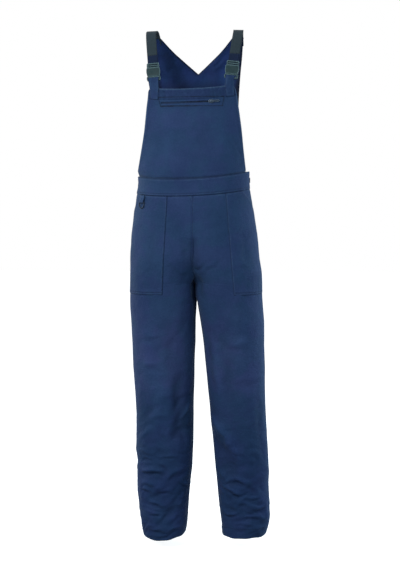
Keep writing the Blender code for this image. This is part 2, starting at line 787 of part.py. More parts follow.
def bib_at(side, height, offset=0.0):
    """The outer face of the bib where a strap tab is sewn, moved across by an offset."""
    across = side * TAB_ACROSS + offset
    return bib_point(height, bib_share(height, across))


# ---------------------------------------------------------------- buckles


def outline_solid(outline, thick):
    """A plate of an outline of (across, along) points, centred on its middle plane."""
    bm = bmesh.new()
    face = bm.faces.new([bm.verts.new((x, y, -thick / 2)) for x, y in outline])
    grown = bmesh.ops.extrude_face_region(bm, geom=[face])["geom"]
    lifted = [item for item in grown if isinstance(item, bmesh.types.BMVert)]
    bmesh.ops.translate(bm, vec=(0.0, 0.0, thick), verts=lifted)
    bmesh.ops.recalc_face_normals(bm, faces=bm.faces)
    return bm


def box_solid(x_range, y_range, z_range):
    bm = bmesh.new()
    bmesh.ops.create_cube(bm, size=1.0)
    for vert in bm.verts:
        for axis, (low, high) in enumerate((x_range, y_range, z_range)):
            vert.co[axis] = blend(low, high, vert.co[axis] + 0.5)
    return bm


def cutter(name, bm, place=None):
    obj = add_object(name, bm, PLASTIC, place=place)
    obj.hide_render = True
    obj.display_type = "WIRE"
    return obj


def combine(obj, other, operation):
    modifier = obj.modifiers.new(operation.title(), "BOOLEAN")
    modifier.operation = operation
    modifier.solver = "EXACT"
    modifier.object = other


def soften(obj, width):
    modifier = obj.modifiers.new("Bevel", "BEVEL")
    modifier.width = width
    modifier.segments = 1
    modifier.limit_method = "ANGLE"
    modifier.angle_limit = math.radians(40)


def symmetric(half):
    """A whole outline in metres from its right half in millimetres, listed downwards."""
    right = [(across * MM, down * MM) for across, down in half]
    return right + [(-across, down) for across, down in reversed(right)]


def lengthwise(half):
    """A whole outline in metres from its upper half in millimetres, listed along its length."""
    upper = [(x * MM, y * MM) for x, y in half]
    return [(x, -y) for x, y in upper] + list(reversed(upper))


def make_socket(name, place):
    """Ladder with two slots for the strap, and the hollow body that the plug goes into."""
    middle = place @ Matrix.Translation((0.0, 0.0, BUCKLE_MIDDLE))
    ladder = outline_solid(symmetric(LADDER_HALF), LADDER_THICK)
    socket = add_object(f"buckle_socket_{name}", ladder, PLASTIC, 0.4, place=middle)
    body = outline_solid(symmetric(SOCKET_HALF), BODY_THICK)
    combine(socket, cutter(f"socket_body_{name}", body, middle), "UNION")
    across = (-SLOT_HALF, SLOT_HALF)
    for slot, start in enumerate(SLOT_STARTS):
        window = box_solid(across, (start, start + SLOT_LENGTH), (-LADDER_THICK, LADDER_THICK))
        combine(socket, cutter(f"socket_slot_{name}_{slot}", window, middle), "DIFFERENCE")
    mouth = box_solid(
        (-MOUTH_HALF, MOUTH_HALF),
        (LADDER_LENGTH + 6 * MM, SOCKET_LENGTH + 3 * MM),
        (-MOUTH_THICK / 2, MOUTH_THICK / 2),
    )
    combine(socket, cutter(f"socket_mouth_{name}", mouth, middle), "DIFFERENCE")
    soften(socket, 0.7 * MM)


def make_plug(name, place):
    """Two spring arms and a guide, on a frame whose lower bar holds the tab."""
    middle = place @ Matrix.Translation((0.0, 0.0, BUCKLE_MIDDLE))
    top = SOCKET_LENGTH + GAP
    frame = outline_solid(symmetric(PLUG_HALF), FRAME_THICK)
    plug = add_object(f"buckle_plug_{name}", frame, PLASTIC, 0.4, place=middle)
    window = box_solid(
        (-14.4 * MM, 14.4 * MM),
        (top + 3.4 * MM, PLUG_LENGTH - 4.4 * MM),
        (-FRAME_THICK, FRAME_THICK),
    )
    combine(plug, cutter(f"plug_window_{name}", window, middle), "DIFFERENCE")
    for arm, (low, high) in enumerate(PRONGS):
        prong = box_solid(
            (low * MM, high * MM),
            (LADDER_LENGTH + 8 * MM, top + 1.5 * MM),
            (-PRONG_THICK / 2, PRONG_THICK / 2),
        )
        combine(plug, cutter(f"plug_arm_{name}_{arm}", prong, middle), "UNION")
    soften(plug, 0.6 * MM)


def half_turn(radius):
    """Points of a cloth loop round a bar, from its front over its lower side to its back."""
    angles = [math.pi * step / LOOP_STEPS for step in range(LOOP_STEPS + 1)]
    return [(-radius * math.sin(angle), radius * math.cos(angle)) for angle in angles]


def make_strap_tab(name, side, place):
    """A cloth loop: up the bib's face, round the plug's lower bar and down behind the bib."""
    bar = place @ Matrix.Translation((0.0, BAR_MIDDLE, BUCKLE_MIDDLE))
    rear = -PANEL_WALL - TAB_LIFT - GAP
    points = {}
    for column in range(3):
        offset = TAB_WIDTH * (column - 1) / 2
        strip = []
        for height in TAB_FACE_ROWS:
            share = bib_share(height, side * TAB_ACROSS + offset)
            strip.append(bib_point(height, share) + bib_out(height, share) * TAB_LIFT)
        for along_bar, out in half_turn(TAB_TURN):
            point = bar @ Vector((-offset, along_bar, out))
            strip.append(point + Vector((0.0, 0.0, SHOULDER)))
        for height in TAB_REAR_ROWS:
            share = bib_share(height, side * TAB_ACROSS + offset)
            strip.append(bib_point(height, share) + bib_out(height, share) * rear)
        for row, point in enumerate(strip):
            points[(row, column)] = point
    faces = grid_faces((0, len(strip) - 1), (0, 2))
    normals = point_normals(points, faces)
    sew_wall(f"strap_tab_{name}", points, normals, faces, TAB_WALL, 0.0, NAVY)


# ---------------------------------------------------------------- zip slider and pull


def zip_place():
    """The slider's frame: X along the zip to the right, Y up, Z out from the bib."""
    here = bib_point(ZIP_HEIGHT, bib_share(ZIP_HEIGHT, SLIDER_ACROSS))
    right = bib_point(ZIP_HEIGHT, bib_share(ZIP_HEIGHT, SLIDER_ACROSS + 0.006))
    left = bib_point(ZIP_HEIGHT, bib_share(ZIP_HEIGHT, SLIDER_ACROSS - 0.006))
    x_axis = (right - left).normalized()
    above = bib_point(ZIP_HEIGHT + 0.006, bib_share(ZIP_HEIGHT + 0.006, SLIDER_ACROSS))
    out = x_axis.cross((above - here).normalized()).normalized()
    y_axis = out.cross(x_axis)
    place = Matrix((x_axis, y_axis, out)).transposed().to_4x4()
    place.translation = to_world(here)
    return place


def make_slider(place):
    """Plate over the zip, a neck through the slit, and the arch that holds the pull."""
    middle = PLATE_LOW + PLATE_THICK / 2
    bm = outline_solid(lengthwise(PLATE_HALF), PLATE_THICK)
    bmesh.ops.translate(bm, vec=(0.0, 0.0, middle), verts=bm.verts)
    slider = add_object("zip_slider", bm, STEEL, 0.35, 0.9, place)
    neck = box_solid((-5.0 * MM, 5.0 * MM), (-1.9 * MM, 1.9 * MM), (-PANEL_WALL, middle))
    combine(slider, cutter("slider_neck", neck, place), "UNION")
    length, breadth = ARCH_HALF
    arch = box_solid(
        (-length, length),
        (-breadth, breadth),
        (PLATE_TOP - 0.4 * MM, PLATE_TOP + ARCH_RISE),
    )
    bmesh.ops.bevel(
        arch,
        geom=[edge for edge in arch.edges if is_top_cross_edge(edge)],
        offset=1.2 * MM,
        segments=2,
        profile=0.5,
        affect="EDGES",
        material=-1,
    )
    combine(slider, cutter("slider_arch", arch, place), "UNION")
    eye = box_solid((-2.2 * MM, 2.2 * MM), (-2.0 * MM, 2.0 * MM), (PLATE_TOP, PLATE_TOP + 2.1 * MM))
    combine(slider, cutter("slider_eye", eye, place), "DIFFERENCE")


def is_top_cross_edge(edge):
    """The two upper edges of the arch that run across the zip."""
    ends = [vert.co for vert in edge.verts]
    high = min(end.z for end in ends) > PLATE_TOP + MM
    return high and abs(ends[0].y - ends[1].y) > MM


def make_pull(place):
    """A flat tab whose end bar turns inside the slider's arch."""
    pivot = place @ Matrix.Translation((0.0, 0.0, PIVOT_HEIGHT))
    bm = outline_solid(lengthwise(PULL_HALF), PULL_THICK)
    pull = add_object("zip_pull", bm, STEEL, 0.35, 0.9, pivot)
    window = box_solid(*PULL_WINDOW, (-PULL_THICK, PULL_THICK))
    combine(pull, cutter("pull_window", window, pivot), "DIFFERENCE")


# ---------------------------------------------------------------- ring and buttons


def side_place(side, turn, height):
    """A frame on the outer face: X across, Y up, Z out."""
    here = set_waist(trouser_point(side, turn, height))
    step = 0.01
    ahead = set_waist(trouser_point(side, turn + step, height))
    behind = set_waist(trouser_point(side, turn - step, height))
    x_axis = ((ahead - behind) * side).normalized()
    above = set_waist(trouser_point(side, turn, height + step))
    out = x_axis.cross((above - here).normalized()).normalized()
    place = Matrix((x_axis, out.cross(x_axis), out)).transposed().to_4x4()
    place.translation = to_world(here)
    return place


def make_ring_tab(place, bar):
    """A cloth loop from the waistband round the ring's bar and back up."""
    seat = GAP + POCKET_WALL + GAP + RING_TAB_WALL
    rows = [(-2 * GAP, seat + GAP), (-RING_TAB_FALL, seat + 3 * GAP)]
    for down, out in half_turn(RING_WIRE + GAP):
        rows.append((bar.y + down, bar.z + out))
    rows += [(-RING_TAB_FALL, seat), (-2 * GAP, seat)]
    points = {}
    for row, (down, out) in enumerate(rows):
        for column in range(3):
            local = Vector((RING_TAB_WIDTH * (column - 1) / 2, down, out))
            points[(row, column)] = place @ local + Vector((0.0, 0.0, SHOULDER))
    faces = grid_faces((0, len(rows) - 1), (0, 2), flip=True)
    normals = point_normals(points, faces)
    sew_wall("ring_tab", points, normals, faces, RING_TAB_WALL, 0.0, NAVY)


def make_ring(place):
    """A D of round wire: a straight bar above and a bow below."""
    curve = bpy.data.curves.new("d_ring", "CURVE")
    curve.dimensions = "3D"
    curve.bevel_depth = RING_WIRE
    curve.bevel_resolution = 1
    spline = curve.splines.new("POLY")
    half = RING_SPAN / 2 - RING_WIRE
    fall = RING_DROP - 2 * RING_WIRE
    outline = [(-half, 0.0), (-half / 2, 0.0), (half / 2, 0.0), (half, 0.0)]
    for step in range(1, BOW_STEPS):
        angle = math.pi * step / BOW_STEPS
        outline.append((half * math.cos(angle), -fall * math.sin(angle) ** 0.8))
    spline.points.add(len(outline) - 1)
    for point, (x, y) in zip(spline.points, outline):
        point.co = (x, y, 0.0, 1.0)
    spline.use_cyclic_u = True
    curve.materials.append(principled("d_ring", PLASTIC, 0.4))
    ring = bpy.data.objects.new("d_ring", curve)
    bpy.context.collection.objects.link(ring)
    ring.matrix_world = place


def make_button(name, side):
    """A four-hole button on the lapped end of the waistband."""
    place = side_place(side, BUTTON_TURN, (WAIST_BOTTOM + WAIST_TOP) / 2)
    bm = bmesh.new()
    bmesh.ops.create_cone(
        bm, cap_ends=True, segments=20, radius1=BUTTON_RADIUS, radius2=BUTTON_RADIUS, depth=BUTTON_THICK
    )
    lift = BAND_OUT + GAP + BUTTON_THICK / 2
    bmesh.ops.translate(bm, vec=(0.0, 0.0, lift), verts=bm.verts)
    top = [face for face in bm.faces if face.normal.z > 0.9]
    bmesh.ops.inset_region(bm, faces=top, thickness=1.8 * MM, depth=-0.5 * MM)
    button = add_object(f"side_button_{name}", bm, NAVY_DEEP, 0.45, place=place)
    soften(button, 0.5 * MM)


# ---------------------------------------------------------------- assembly


def clear_scene():
    for obj in list(bpy.data.objects):
        bpy.data.objects.remove(obj, do_unlink=True)


def main():
    clear_scene()
    points = form_points()
    whole = []
    for side in (-1, 1):
        whole += form_faces(side, (0, len(HEIGHTS) - 1), (0, LAST_COLUMN))
    normals = point_normals(points, whole)
    make_trousers(points, normals)
    make_waistband(points, normals)
    make_bib()
    make_back_panel()
    for name, side in (("left", -1), ("right", 1)):
        make_strap(name, side)
        place = buckle_place(side)
        make_socket(name, place)
        make_plug(name, place)
        make_strap_tab(name, side, place)
        make_button(name, side)
    zip_frame = zip_place()
    make_slider(zip_frame)
    make_pull(zip_frame)
    ring_frame = side_place(-1, RING_TURN, WAIST_BOTTOM)
    ring_bar = Vector((0.0, RING_WIRE - RING_TAB_LENGTH, RING_STANDOFF))
    make_ring_tab(ring_frame, ring_bar)
    make_ring(ring_frame @ Matrix.Translation(ring_bar))


main()
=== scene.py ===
"""Gabardine work dungarees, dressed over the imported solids.

Cloth, sewing, zip, webbing and buckles, in metres, with the front towards -Y. Heights in the
tables are measured up from the lowest hem. Left and right are as seen from the front.
"""

import math

import bmesh
import bpy
import numpy as np
from mathutils import Matrix, Vector, noise
from mathutils.bvhtree import BVHTree
from mathutils.geometry import barycentric_transform
from mathutils.kdtree import KDTree


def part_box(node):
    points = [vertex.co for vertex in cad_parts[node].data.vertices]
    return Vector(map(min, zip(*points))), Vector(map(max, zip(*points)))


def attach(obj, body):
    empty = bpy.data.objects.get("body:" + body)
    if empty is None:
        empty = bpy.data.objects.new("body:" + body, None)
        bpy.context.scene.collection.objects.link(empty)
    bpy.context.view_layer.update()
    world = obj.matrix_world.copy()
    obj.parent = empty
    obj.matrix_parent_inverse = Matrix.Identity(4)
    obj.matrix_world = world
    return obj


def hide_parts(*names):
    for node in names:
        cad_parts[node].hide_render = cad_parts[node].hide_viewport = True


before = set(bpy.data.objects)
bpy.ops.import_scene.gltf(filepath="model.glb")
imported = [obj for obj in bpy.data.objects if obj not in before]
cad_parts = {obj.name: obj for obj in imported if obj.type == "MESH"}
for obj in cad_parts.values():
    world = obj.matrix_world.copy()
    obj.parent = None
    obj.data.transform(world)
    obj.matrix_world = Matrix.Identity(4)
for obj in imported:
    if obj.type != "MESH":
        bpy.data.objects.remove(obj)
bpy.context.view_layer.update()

# ---------------------------------------------------------------- sizes

MM = 0.001
SIDES = ("left", "right")
SHOULDER = 1.477  # height of the straps' undersides above the hem
CLOTH = 1.1 * MM
BAND_CLOTH = 2.2 * MM
POCKET_CLOTH = 1.0 * MM
PANEL_LEVELS = 3  # of smoothing
STRIP_LEVELS = 2

STITCH = 2.7 * MM
STITCH_GAP = 0.8 * MM
STUCK = 0.05 * MM  # a stitch that gets no further than this is left out
THREAD = 0.24 * MM
THREAD_FLATNESS = 0.75
THREAD_PROUD = 0.3  # share of a thread that its middle stands off the cloth
TOOTH_STEP = 0.75 * MM
TEETH_RUN = (-90, 51, 2)  # across the bib in millimetres: from, to, step
ZIP_HEIGHT = 1271.3  # in millimetres

FAR = 1.0  # further than anything on a pattern
MARK_STEP = 0.5 * MM  # between the marks that distances are taken from
TURNED_DOWN = 0.031  # the bib's top, turned down double
BIB_TOP = 1.322
KNEE_FADE = ((0.40, 0.47, 0.60, 0.72), (0, 1, 1, 0))  # heights, then how worn
# heights, then how much painted shade darkens the lower legs
LOWER_LEG_SHADE = ((0.0, 0.12, 0.25, 0.38), (1, 1, 0.75, 0))
INNER_FOLD = ((-98, 1430), (-66, 1378), (-34, 1310))  # the long fold seen inside the back

FRONT_FADE = 0.03  # from the side of the body to its front
LEVEL_SLOPE = 0.4
HEM_TOP = 0.03
BAND_MIDDLE = 1.025
EVEN_FROM = 0.995  # the legs lie even above this height
EVEN_OVER = 0.05
WANDER = 0.0065  # how far creases wander
PATCHY = 0.8  # share by which they come and go
CREASE_FADE = 0.007  # creases die out this close to a seam
SLACK_FADE = 0.02

# soft unevenness: how many ripples a metre, across and along a pattern
WANDERS = (38, 38)
PATCHES = (26, 26)
BROAD = (14, 9)
FINE = (46, 34)
FACETS = (26, 36)
SWIRLS = (20, 20)
RUMPLES = (17, 48)
RUMPLE_PATCHES = (11, 11)
SEED_STEP = 3.1  # between the noise of one piece and the next
LEAST_SLACK = 0.0006
RUMPLED_BELOW = 0.42
RUMPLED_OVER = 0.22
PRESSED = 0.9 * MM
PRESSED_REACH = 5.0 * MM

SEAM_MIDDLE = 0.003  # across, of the seam between the legs
SEAM_GAP = 0.25 * MM
SEAM_REACH = 4 * MM
THIGH_LOW = 0.690
THIGH_HIGH = 0.790
THIGH_WAVE = 0.0055
SIDE_REACH = 0.070  # how far in from the sides the folds push them
HEM_REACH = 0.16
# how each hem dips, across and in height: its middle, half its width, the drop of the middle
# and how much higher its ends are
HEM_DIPS = {"left": (-0.098, 0.060, -0.0065, 0.0105), "right": (0.141, 0.065, 0.0045, 0.0045)}
FOOT_TOP = 1.240  # of the back panel's drawn-in foot
FOOT_TUCK = 0.013
NECK_EDGE = ((0, 111), (1364, 1463))  # distance across, then height, in millimetres
SHOULDER_TUCK = 0.0025
CORNER_RADIUS = 0.014
BEHIND_REACH = 0.006  # strip of a piece that runs on behind the waistband
BEHIND_DEPTH = 0.0026  # how far in it goes there
BEHIND_RUN = 0.0045  # how far it runs on
SHADOW_INSETS = (3.0 * MM, 3.9 * MM)  # of the dark line where a piece goes in
TAB_HALF = 0.0107
BUTTON_SUNK = 0.9 * MM
BELOW_STRAPS = Vector((0.0, 0.0, -0.25))
INSIDE_CHEST = Vector((0.0, 0.0, -0.2))

# blues of the cloths: dark, then light
NAVY = ((0.0100, 0.0300, 0.0900), (0.0172, 0.0425, 0.1150))
INNER_BLUE = ((0.0066, 0.0225, 0.0940), (0.0100, 0.0320, 0.1190))
# the strap ends: the navy painted far darker, as painted shade
STRAP_SHADED_BLUE = ((0.0008, 0.0068, 0.0270), (0.0026, 0.0122, 0.0400))
ZIP_BLUE = ((0.008, 0.018, 0.052), (0.012, 0.026, 0.070))

# the camera, from the photo: degrees round and down, metres, and pixels
CAMERA_TURN = 5
CAMERA_DROP = 4.4
CAMERA_AWAY = 4
CAMERA_HEIGHT = 1.050
CAMERA_SHIFT = 4.8
FOCAL_PIXELS = 1366
PHOTO_HEIGHT = 570

# name, place, size, power and colour
LAMPS = (
    ("key", (-1.0, -1.6, 0.45), 1.1, 33, (1.0, 0.985, 0.96)),
    ("fill", (1.5, -2.4, -0.1), 1.6, 13, (0.62, 0.90, 1.0)),
    ("rim_left", (-2.2, 0.9, -0.3), 1.4, 22, (0.88, 0.95, 1.0)),
    ("rim_right", (2.2, 0.9, -0.3), 1.4, 42, (0.60, 0.86, 1.0)),
    ("over", (0.0, -0.3, 1.8), 1.2, 10, (1.0, 1.0, 1.0)),
)
LAMPS_AIM = (0.0, 0.0, -0.55)
FLOOR_BELOW = 0.03

# ---------------------------------------------------------------- tables of the pieces

# node: cloth thickness
PANELS = {
    "front_leg_left": CLOTH,
    "front_leg_right": CLOTH,
    "back_leg_left": CLOTH,
    "back_leg_right": CLOTH,
    "hip_pocket_left": POCKET_CLOTH,
    "hip_pocket_right": POCKET_CLOTH,
    "waistband_front": BAND_CLOTH,
    "waistband_back": BAND_CLOTH,
    "bib": CLOTH,
    "back_panel": CLOTH,
}

# how far each piece stands off its even form, in metres
SLACK = {
    "front_leg_left": 0.0022,
    "front_leg_right": 0.0020,
    "back_leg_left": 0.0024,
    "back_leg_right": 0.0024,
    "bib": 0.0012,
    "back_panel": 0.0018,
    "hip_pocket_left": 0.0009,
    "hip_pocket_right": 0.0009,
}

# Creases: kind, half width and depth in millimetres, then start, middle and end as
# (across, height) in millimetres, seen from the front or the back.
CREASES = {
    "front_leg_left": (
        ("trough", 8.0, 3.2, (-5, 439), (-30, 415), (-52, 385)),
        ("ridge", 7.0, 3.2, (-10, 406), (-23, 376), (-36, 346)),
        ("trough", 9.0, 3.8, (-4, 334), (-34, 321), (-58, 296)),
        ("ridge", 8.0, 2.6, (-128, 350), (-100, 368), (-72, 362)),
        ("ridge", 8.0, 3.0, (-156, 290), (-138, 316), (-114, 338)),
        ("trough", 11.0, 3.0, (-148, 346), (-127, 379), (-85, 406)),
        ("trough", 7.0, 3.0, (-99, 331), (-93, 309), (-80, 298)),
        ("ridge", 6.0, 2.5, (-87, 346), (-73, 325), (-76, 304)),
        ("fold", 6.0, 3.4, (-100, 234), (-76, 243), (-48, 239)),
        ("trough", 12.0, 3.5, (-98, 272), (-85, 256), (-64, 250)),
        ("fold", 5.5, 3.0, (-150, 229), (-137, 238), (-120, 232)),
        ("fold", 6.5, 6.0, (-146, 188), (-115, 197), (-80, 191)),
        ("trough", 7.0, 4.0, (-104, 221), (-89, 206), (-75, 194)),
        ("fold", 9.0, 3.8, (-24, 199), (-54, 186), (-82, 160)),
        ("fold", 8.0, 3.4, (-74, 160), (-92, 146), (-120, 128)),
        ("ridge", 9.0, 3.5, (-153, 164), (-122, 170), (-94, 167)),
        ("fold", 6.0, 4.2, (-112, 132), (-86, 139), (-52, 136)),
        ("fold", 6.0, 4.4, (-133, 107), (-111, 102), (-86, 94)),
        ("fold", 5.0, 3.2, (-128, 72), (-114, 71), (-99, 74)),
        ("trough", 11.0, 3.4, (-40, 122), (-66, 92), (-88, 62)),
        ("fold", 6.0, 2.8, (-72, 74), (-88, 60), (-108, 44)),
        ("ridge", 8.0, 3.0, (-42, 74), (-64, 57), (-88, 34)),
        ("fold", 5.0, 4.2, (-127, 28), (-92, 24), (-35, 28)),
        ("fold", 5.0, 4.0, (-102, 10), (-73, 20), (-34, 25)),
        ("trough", 6.0, 3.0, (-54, 325), (-30, 309), (-27, 272)),
        ("fold", 6.0, 3.5, (-38, 170), (-27, 154), (-16, 148)),
        ("fold", 6.0, 3.0, (-148, 145), (-137, 138), (-124, 138)),
        ("ridge", 24.0, 7.0, (-94, 520), (-92, 400), (-88, 290)),
        ("trough", 22.0, 6.0, (-44, 500), (-40, 400), (-38, 280)),
        ("trough", 8.0, 2.5, (-22, 880), (-20, 846), (-14, 800)),
        ("fold", 9.0, 1.6, (-14, 776), (-42, 790), (-78, 822)),
        ("ridge", 22.0, 2.6, (-118, 690), (-127, 560), (-124, 430)),
        ("trough", 20.0, 2.6, (-62, 655), (-70, 560), (-66, 470)),
        ("trough", 12.0, 2.2, (-20, 660), (-48, 600), (-92, 560)),
        ("fold", 12.0, 2.2, (-150, 600), (-120, 590), (-90, 600)),
        ("fold", 12.0, 2.2, (-140, 500), (-110, 505), (-84, 495)),
    ),
    "front_leg_right": (
        ("ridge", 13.0, 8.0, (52, 360), (94, 312), (132, 246)),
        ("trough", 20.0, 8.5, (60, 306), (86, 254), (110, 184)),
        ("trough", 8.0, 3.0, (124, 261), (121, 218), (124, 175)),
        ("fold", 8.0, 6.2, (102, 162), (124, 176), (160, 164)),
        ("trough", 6.0, 4.5, (156, 167), (170, 154), (183, 143)),
        ("fold", 6.5, 5.4, (94, 148), (112, 139), (137, 130)),
        ("fold", 7.0, 5.4, (150, 113), (173, 121), (198, 116)),
        ("fold", 7.0, 5.0, (126, 90), (141, 102), (172, 97)),
        ("fold", 6.0, 4.8, (150, 59), (173, 65), (198, 60)),
        ("fold", 5.5, 4.4, (123, 38), (145, 44), (172, 35)),
        ("fold", 6.0, 4.5, (87, 76), (106, 66), (131, 76)),
        ("ridge", 12.0, 3.5, (114, 159), (140, 148), (156, 132)),
        ("ridge", 10.0, 3.0, (209, 116), (214, 78), (212, 40)),
        ("trough", 6.0, 3.0, (98, 100), (114, 89), (124, 86)),
        ("fold", 6.0, 3.5, (177, 89), (192, 86), (208, 92)),
        ("fold", 6.0, 4.5, (8, 799), (16, 794), (34, 813)),
        ("trough", 8.0, 4.0, (16, 785), (20, 748), (24, 708)),
        ("trough", 7.0, 2.5, (10, 890), (12, 850), (16, 812)),
        ("fold", 9.0, 1.5, (24, 780), (52, 796), (86, 830)),
        ("ridge", 22.0, 2.6, (148, 690), (152, 540), (160, 400)),
        ("trough", 18.0, 2.8, (88, 640), (100, 500), (110, 400)),
        ("ridge", 15.0, 2.6, (64, 600), (72, 480), (84, 400)),
        ("trough", 10.0, 3.2, (38, 640), (48, 530), (60, 430)),
        ("trough", 12.0, 2.0, (40, 640), (70, 590), (112, 565)),
        ("trough", 14.0, 2.4, (190, 420), (192, 330), (198, 240)),
        ("fold", 12.0, 2.2, (110, 560), (140, 570), (170, 562)),
        ("fold", 12.0, 2.0, (120, 470), (150, 462), (186, 470)),
    ),
    "back_leg_left": (
        ("fold", 12.2, 3.6, (-10, 745), (-55, 728), (-105, 738)),
        ("fold", 10.8, 2.8, (-30, 700), (-70, 690), (-110, 702)),
        ("trough", 12.0, 3.5, (-8, 800), (-40, 830), (-80, 880)),
        ("fold", 10.8, 3.6, (-20, 470), (-70, 455), (-130, 468)),
        ("fold", 9.5, 3.2, (-40, 432), (-85, 425), (-140, 440)),
        ("fold", 9.5, 2.8, (-15, 395), (-60, 405), (-110, 392)),
        ("fold", 9.5, 3.6, (-30, 212), (-80, 224), (-140, 208)),
        ("fold", 8.1, 3.2, (-50, 165), (-95, 158), (-145, 170)),
        ("fold", 8.1, 3.2, (-28, 122), (-70, 132), (-118, 120)),
        ("fold", 6.8, 2.8, (-60, 82), (-100, 76), (-140, 86)),
        ("fold", 6.1, 2.2, (-38, 46), (-75, 52), (-112, 44)),
        ("ridge", 24.0, 3.0, (-95, 680), (-100, 560), (-98, 500)),
        ("ridge", 18.0, 3.0, (-100, 380), (-104, 300), (-96, 230)),
    ),
    "back_leg_right": (
        ("fold", 12.2, 3.6, (16, 745), (60, 730), (112, 742)),
        ("fold", 10.8, 2.6, (40, 706), (84, 694), (124, 704)),
        ("trough", 12.0, 3.5, (14, 800), (48, 834), (84, 878)),
        ("fold", 10.8, 3.6, (44, 462), (92, 450), (150, 464)),
        ("fold", 9.5, 3.2, (70, 425), (118, 418), (165, 432)),
        ("fold", 9.5, 2.8, (50, 388), (95, 398), (140, 384)),
        ("fold", 9.5, 3.6, (80, 205), (130, 218), (188, 200)),
        ("fold", 8.1, 3.2, (100, 160), (148, 150), (196, 164)),
        ("fold", 8.1, 3.2, (82, 118), (126, 128), (172, 114)),
        ("fold", 6.8, 2.8, (112, 78), (152, 70), (196, 82)),
        ("fold", 6.1, 2.2, (90, 44), (128, 50), (168, 40)),
        ("ridge", 24.0, 3.0, (104, 680), (108, 560), (112, 500)),
        ("ridge", 18.0, 3.0, (124, 380), (132, 300), (140, 230)),
    ),
    "bib": (
        ("fold", 4.0, 1.2, (-88, 1298), (-80, 1295), (-72, 1290)),
        ("ridge", 18.0, 1.6, (-60, 1230), (-66, 1170), (-72, 1100)),
        ("trough", 16.0, 1.4, (20, 1220), (26, 1160), (22, 1100)),
        ("ridge", 16.0, 1.4, (75, 1235), (84, 1170), (96, 1105)),
        ("trough", 12.0, 1.2, (-120, 1240), (-128, 1180), (-138, 1120)),
        ("fold", 6.0, 1.2, (118, 1180), (126, 1150), (138, 1120)),
    ),
    "back_panel": (
        ("trough", 22.0, 9.5, (-128, 1450), (-90, 1370), (-52, 1250)),
        ("ridge", 20.0, 5.0, (-86, 1434), (-48, 1356), (-8, 1250)),
        ("trough", 16.0, 5.0, (48, 1410), (42, 1310), (44, 1200)),
        ("ridge", 15.0, 3.0, (88, 1440), (84, 1330), (80, 1220)),
        ("fold", 8.0, 2.4, (-100, 1120), (-60, 1105), (-10, 1112)),
        ("fold", 8.0, 2.2, (20, 1098), (60, 1108), (105, 1096)),
        ("fold", 7.0, 1.8, (96, 1430), (76, 1400), (50, 1375)),
    ),
    "waistband_front": (
        ("fold", 4.0, 0.9, (-132, 1052), (-112, 1051), (-92, 1052)),
        ("ridge", 12.0, 0.8, (40, 1056), (42, 1040), (40, 1020)),
    ),
    "hip_pocket_left": (
        ("trough", 12.0, 1.4, (-110, 940), (-118, 860), (-120, 780)),
        ("fold", 7.0, 1.2, (-165, 800), (-140, 792), (-112, 796)),
    ),
    "hip_pocket_right": (
        ("trough", 12.0, 1.4, (140, 920), (150, 840), (154, 770)),
        ("fold", 7.0, 1.2, (176, 810), (156, 800), (130, 806)),
    ),
}

# Edges that are sewn in behind the waistband: two points on the body in millimetres
# (across, depth, height), and the way the edge runs on, up or down.
SEWN_IN = {
    "front_leg_left": ((-5, -119, 1004), (-172, 0, 1010), 1),
    "front_leg_right": ((-5, -119, 1004), (163, 0, 1023), 1),
    "back_leg_left": ((-5, 115, 1016), (-172, 0, 1010), 1),
    "back_leg_right": ((-5, 115, 1016), (163, 0, 1023), 1),
    "bib": ((-163, -10, 1060), (151, -40, 1074), -1),
    "back_panel": ((-158, 40, 1068), (158, 40, 1068), -1),
}

# the crease down the centre front seam, in the same terms but without its kind
FRONT_SEAM_CREASE = (12.0, 7.0, (3, 890), (5, 840), (8, 785))
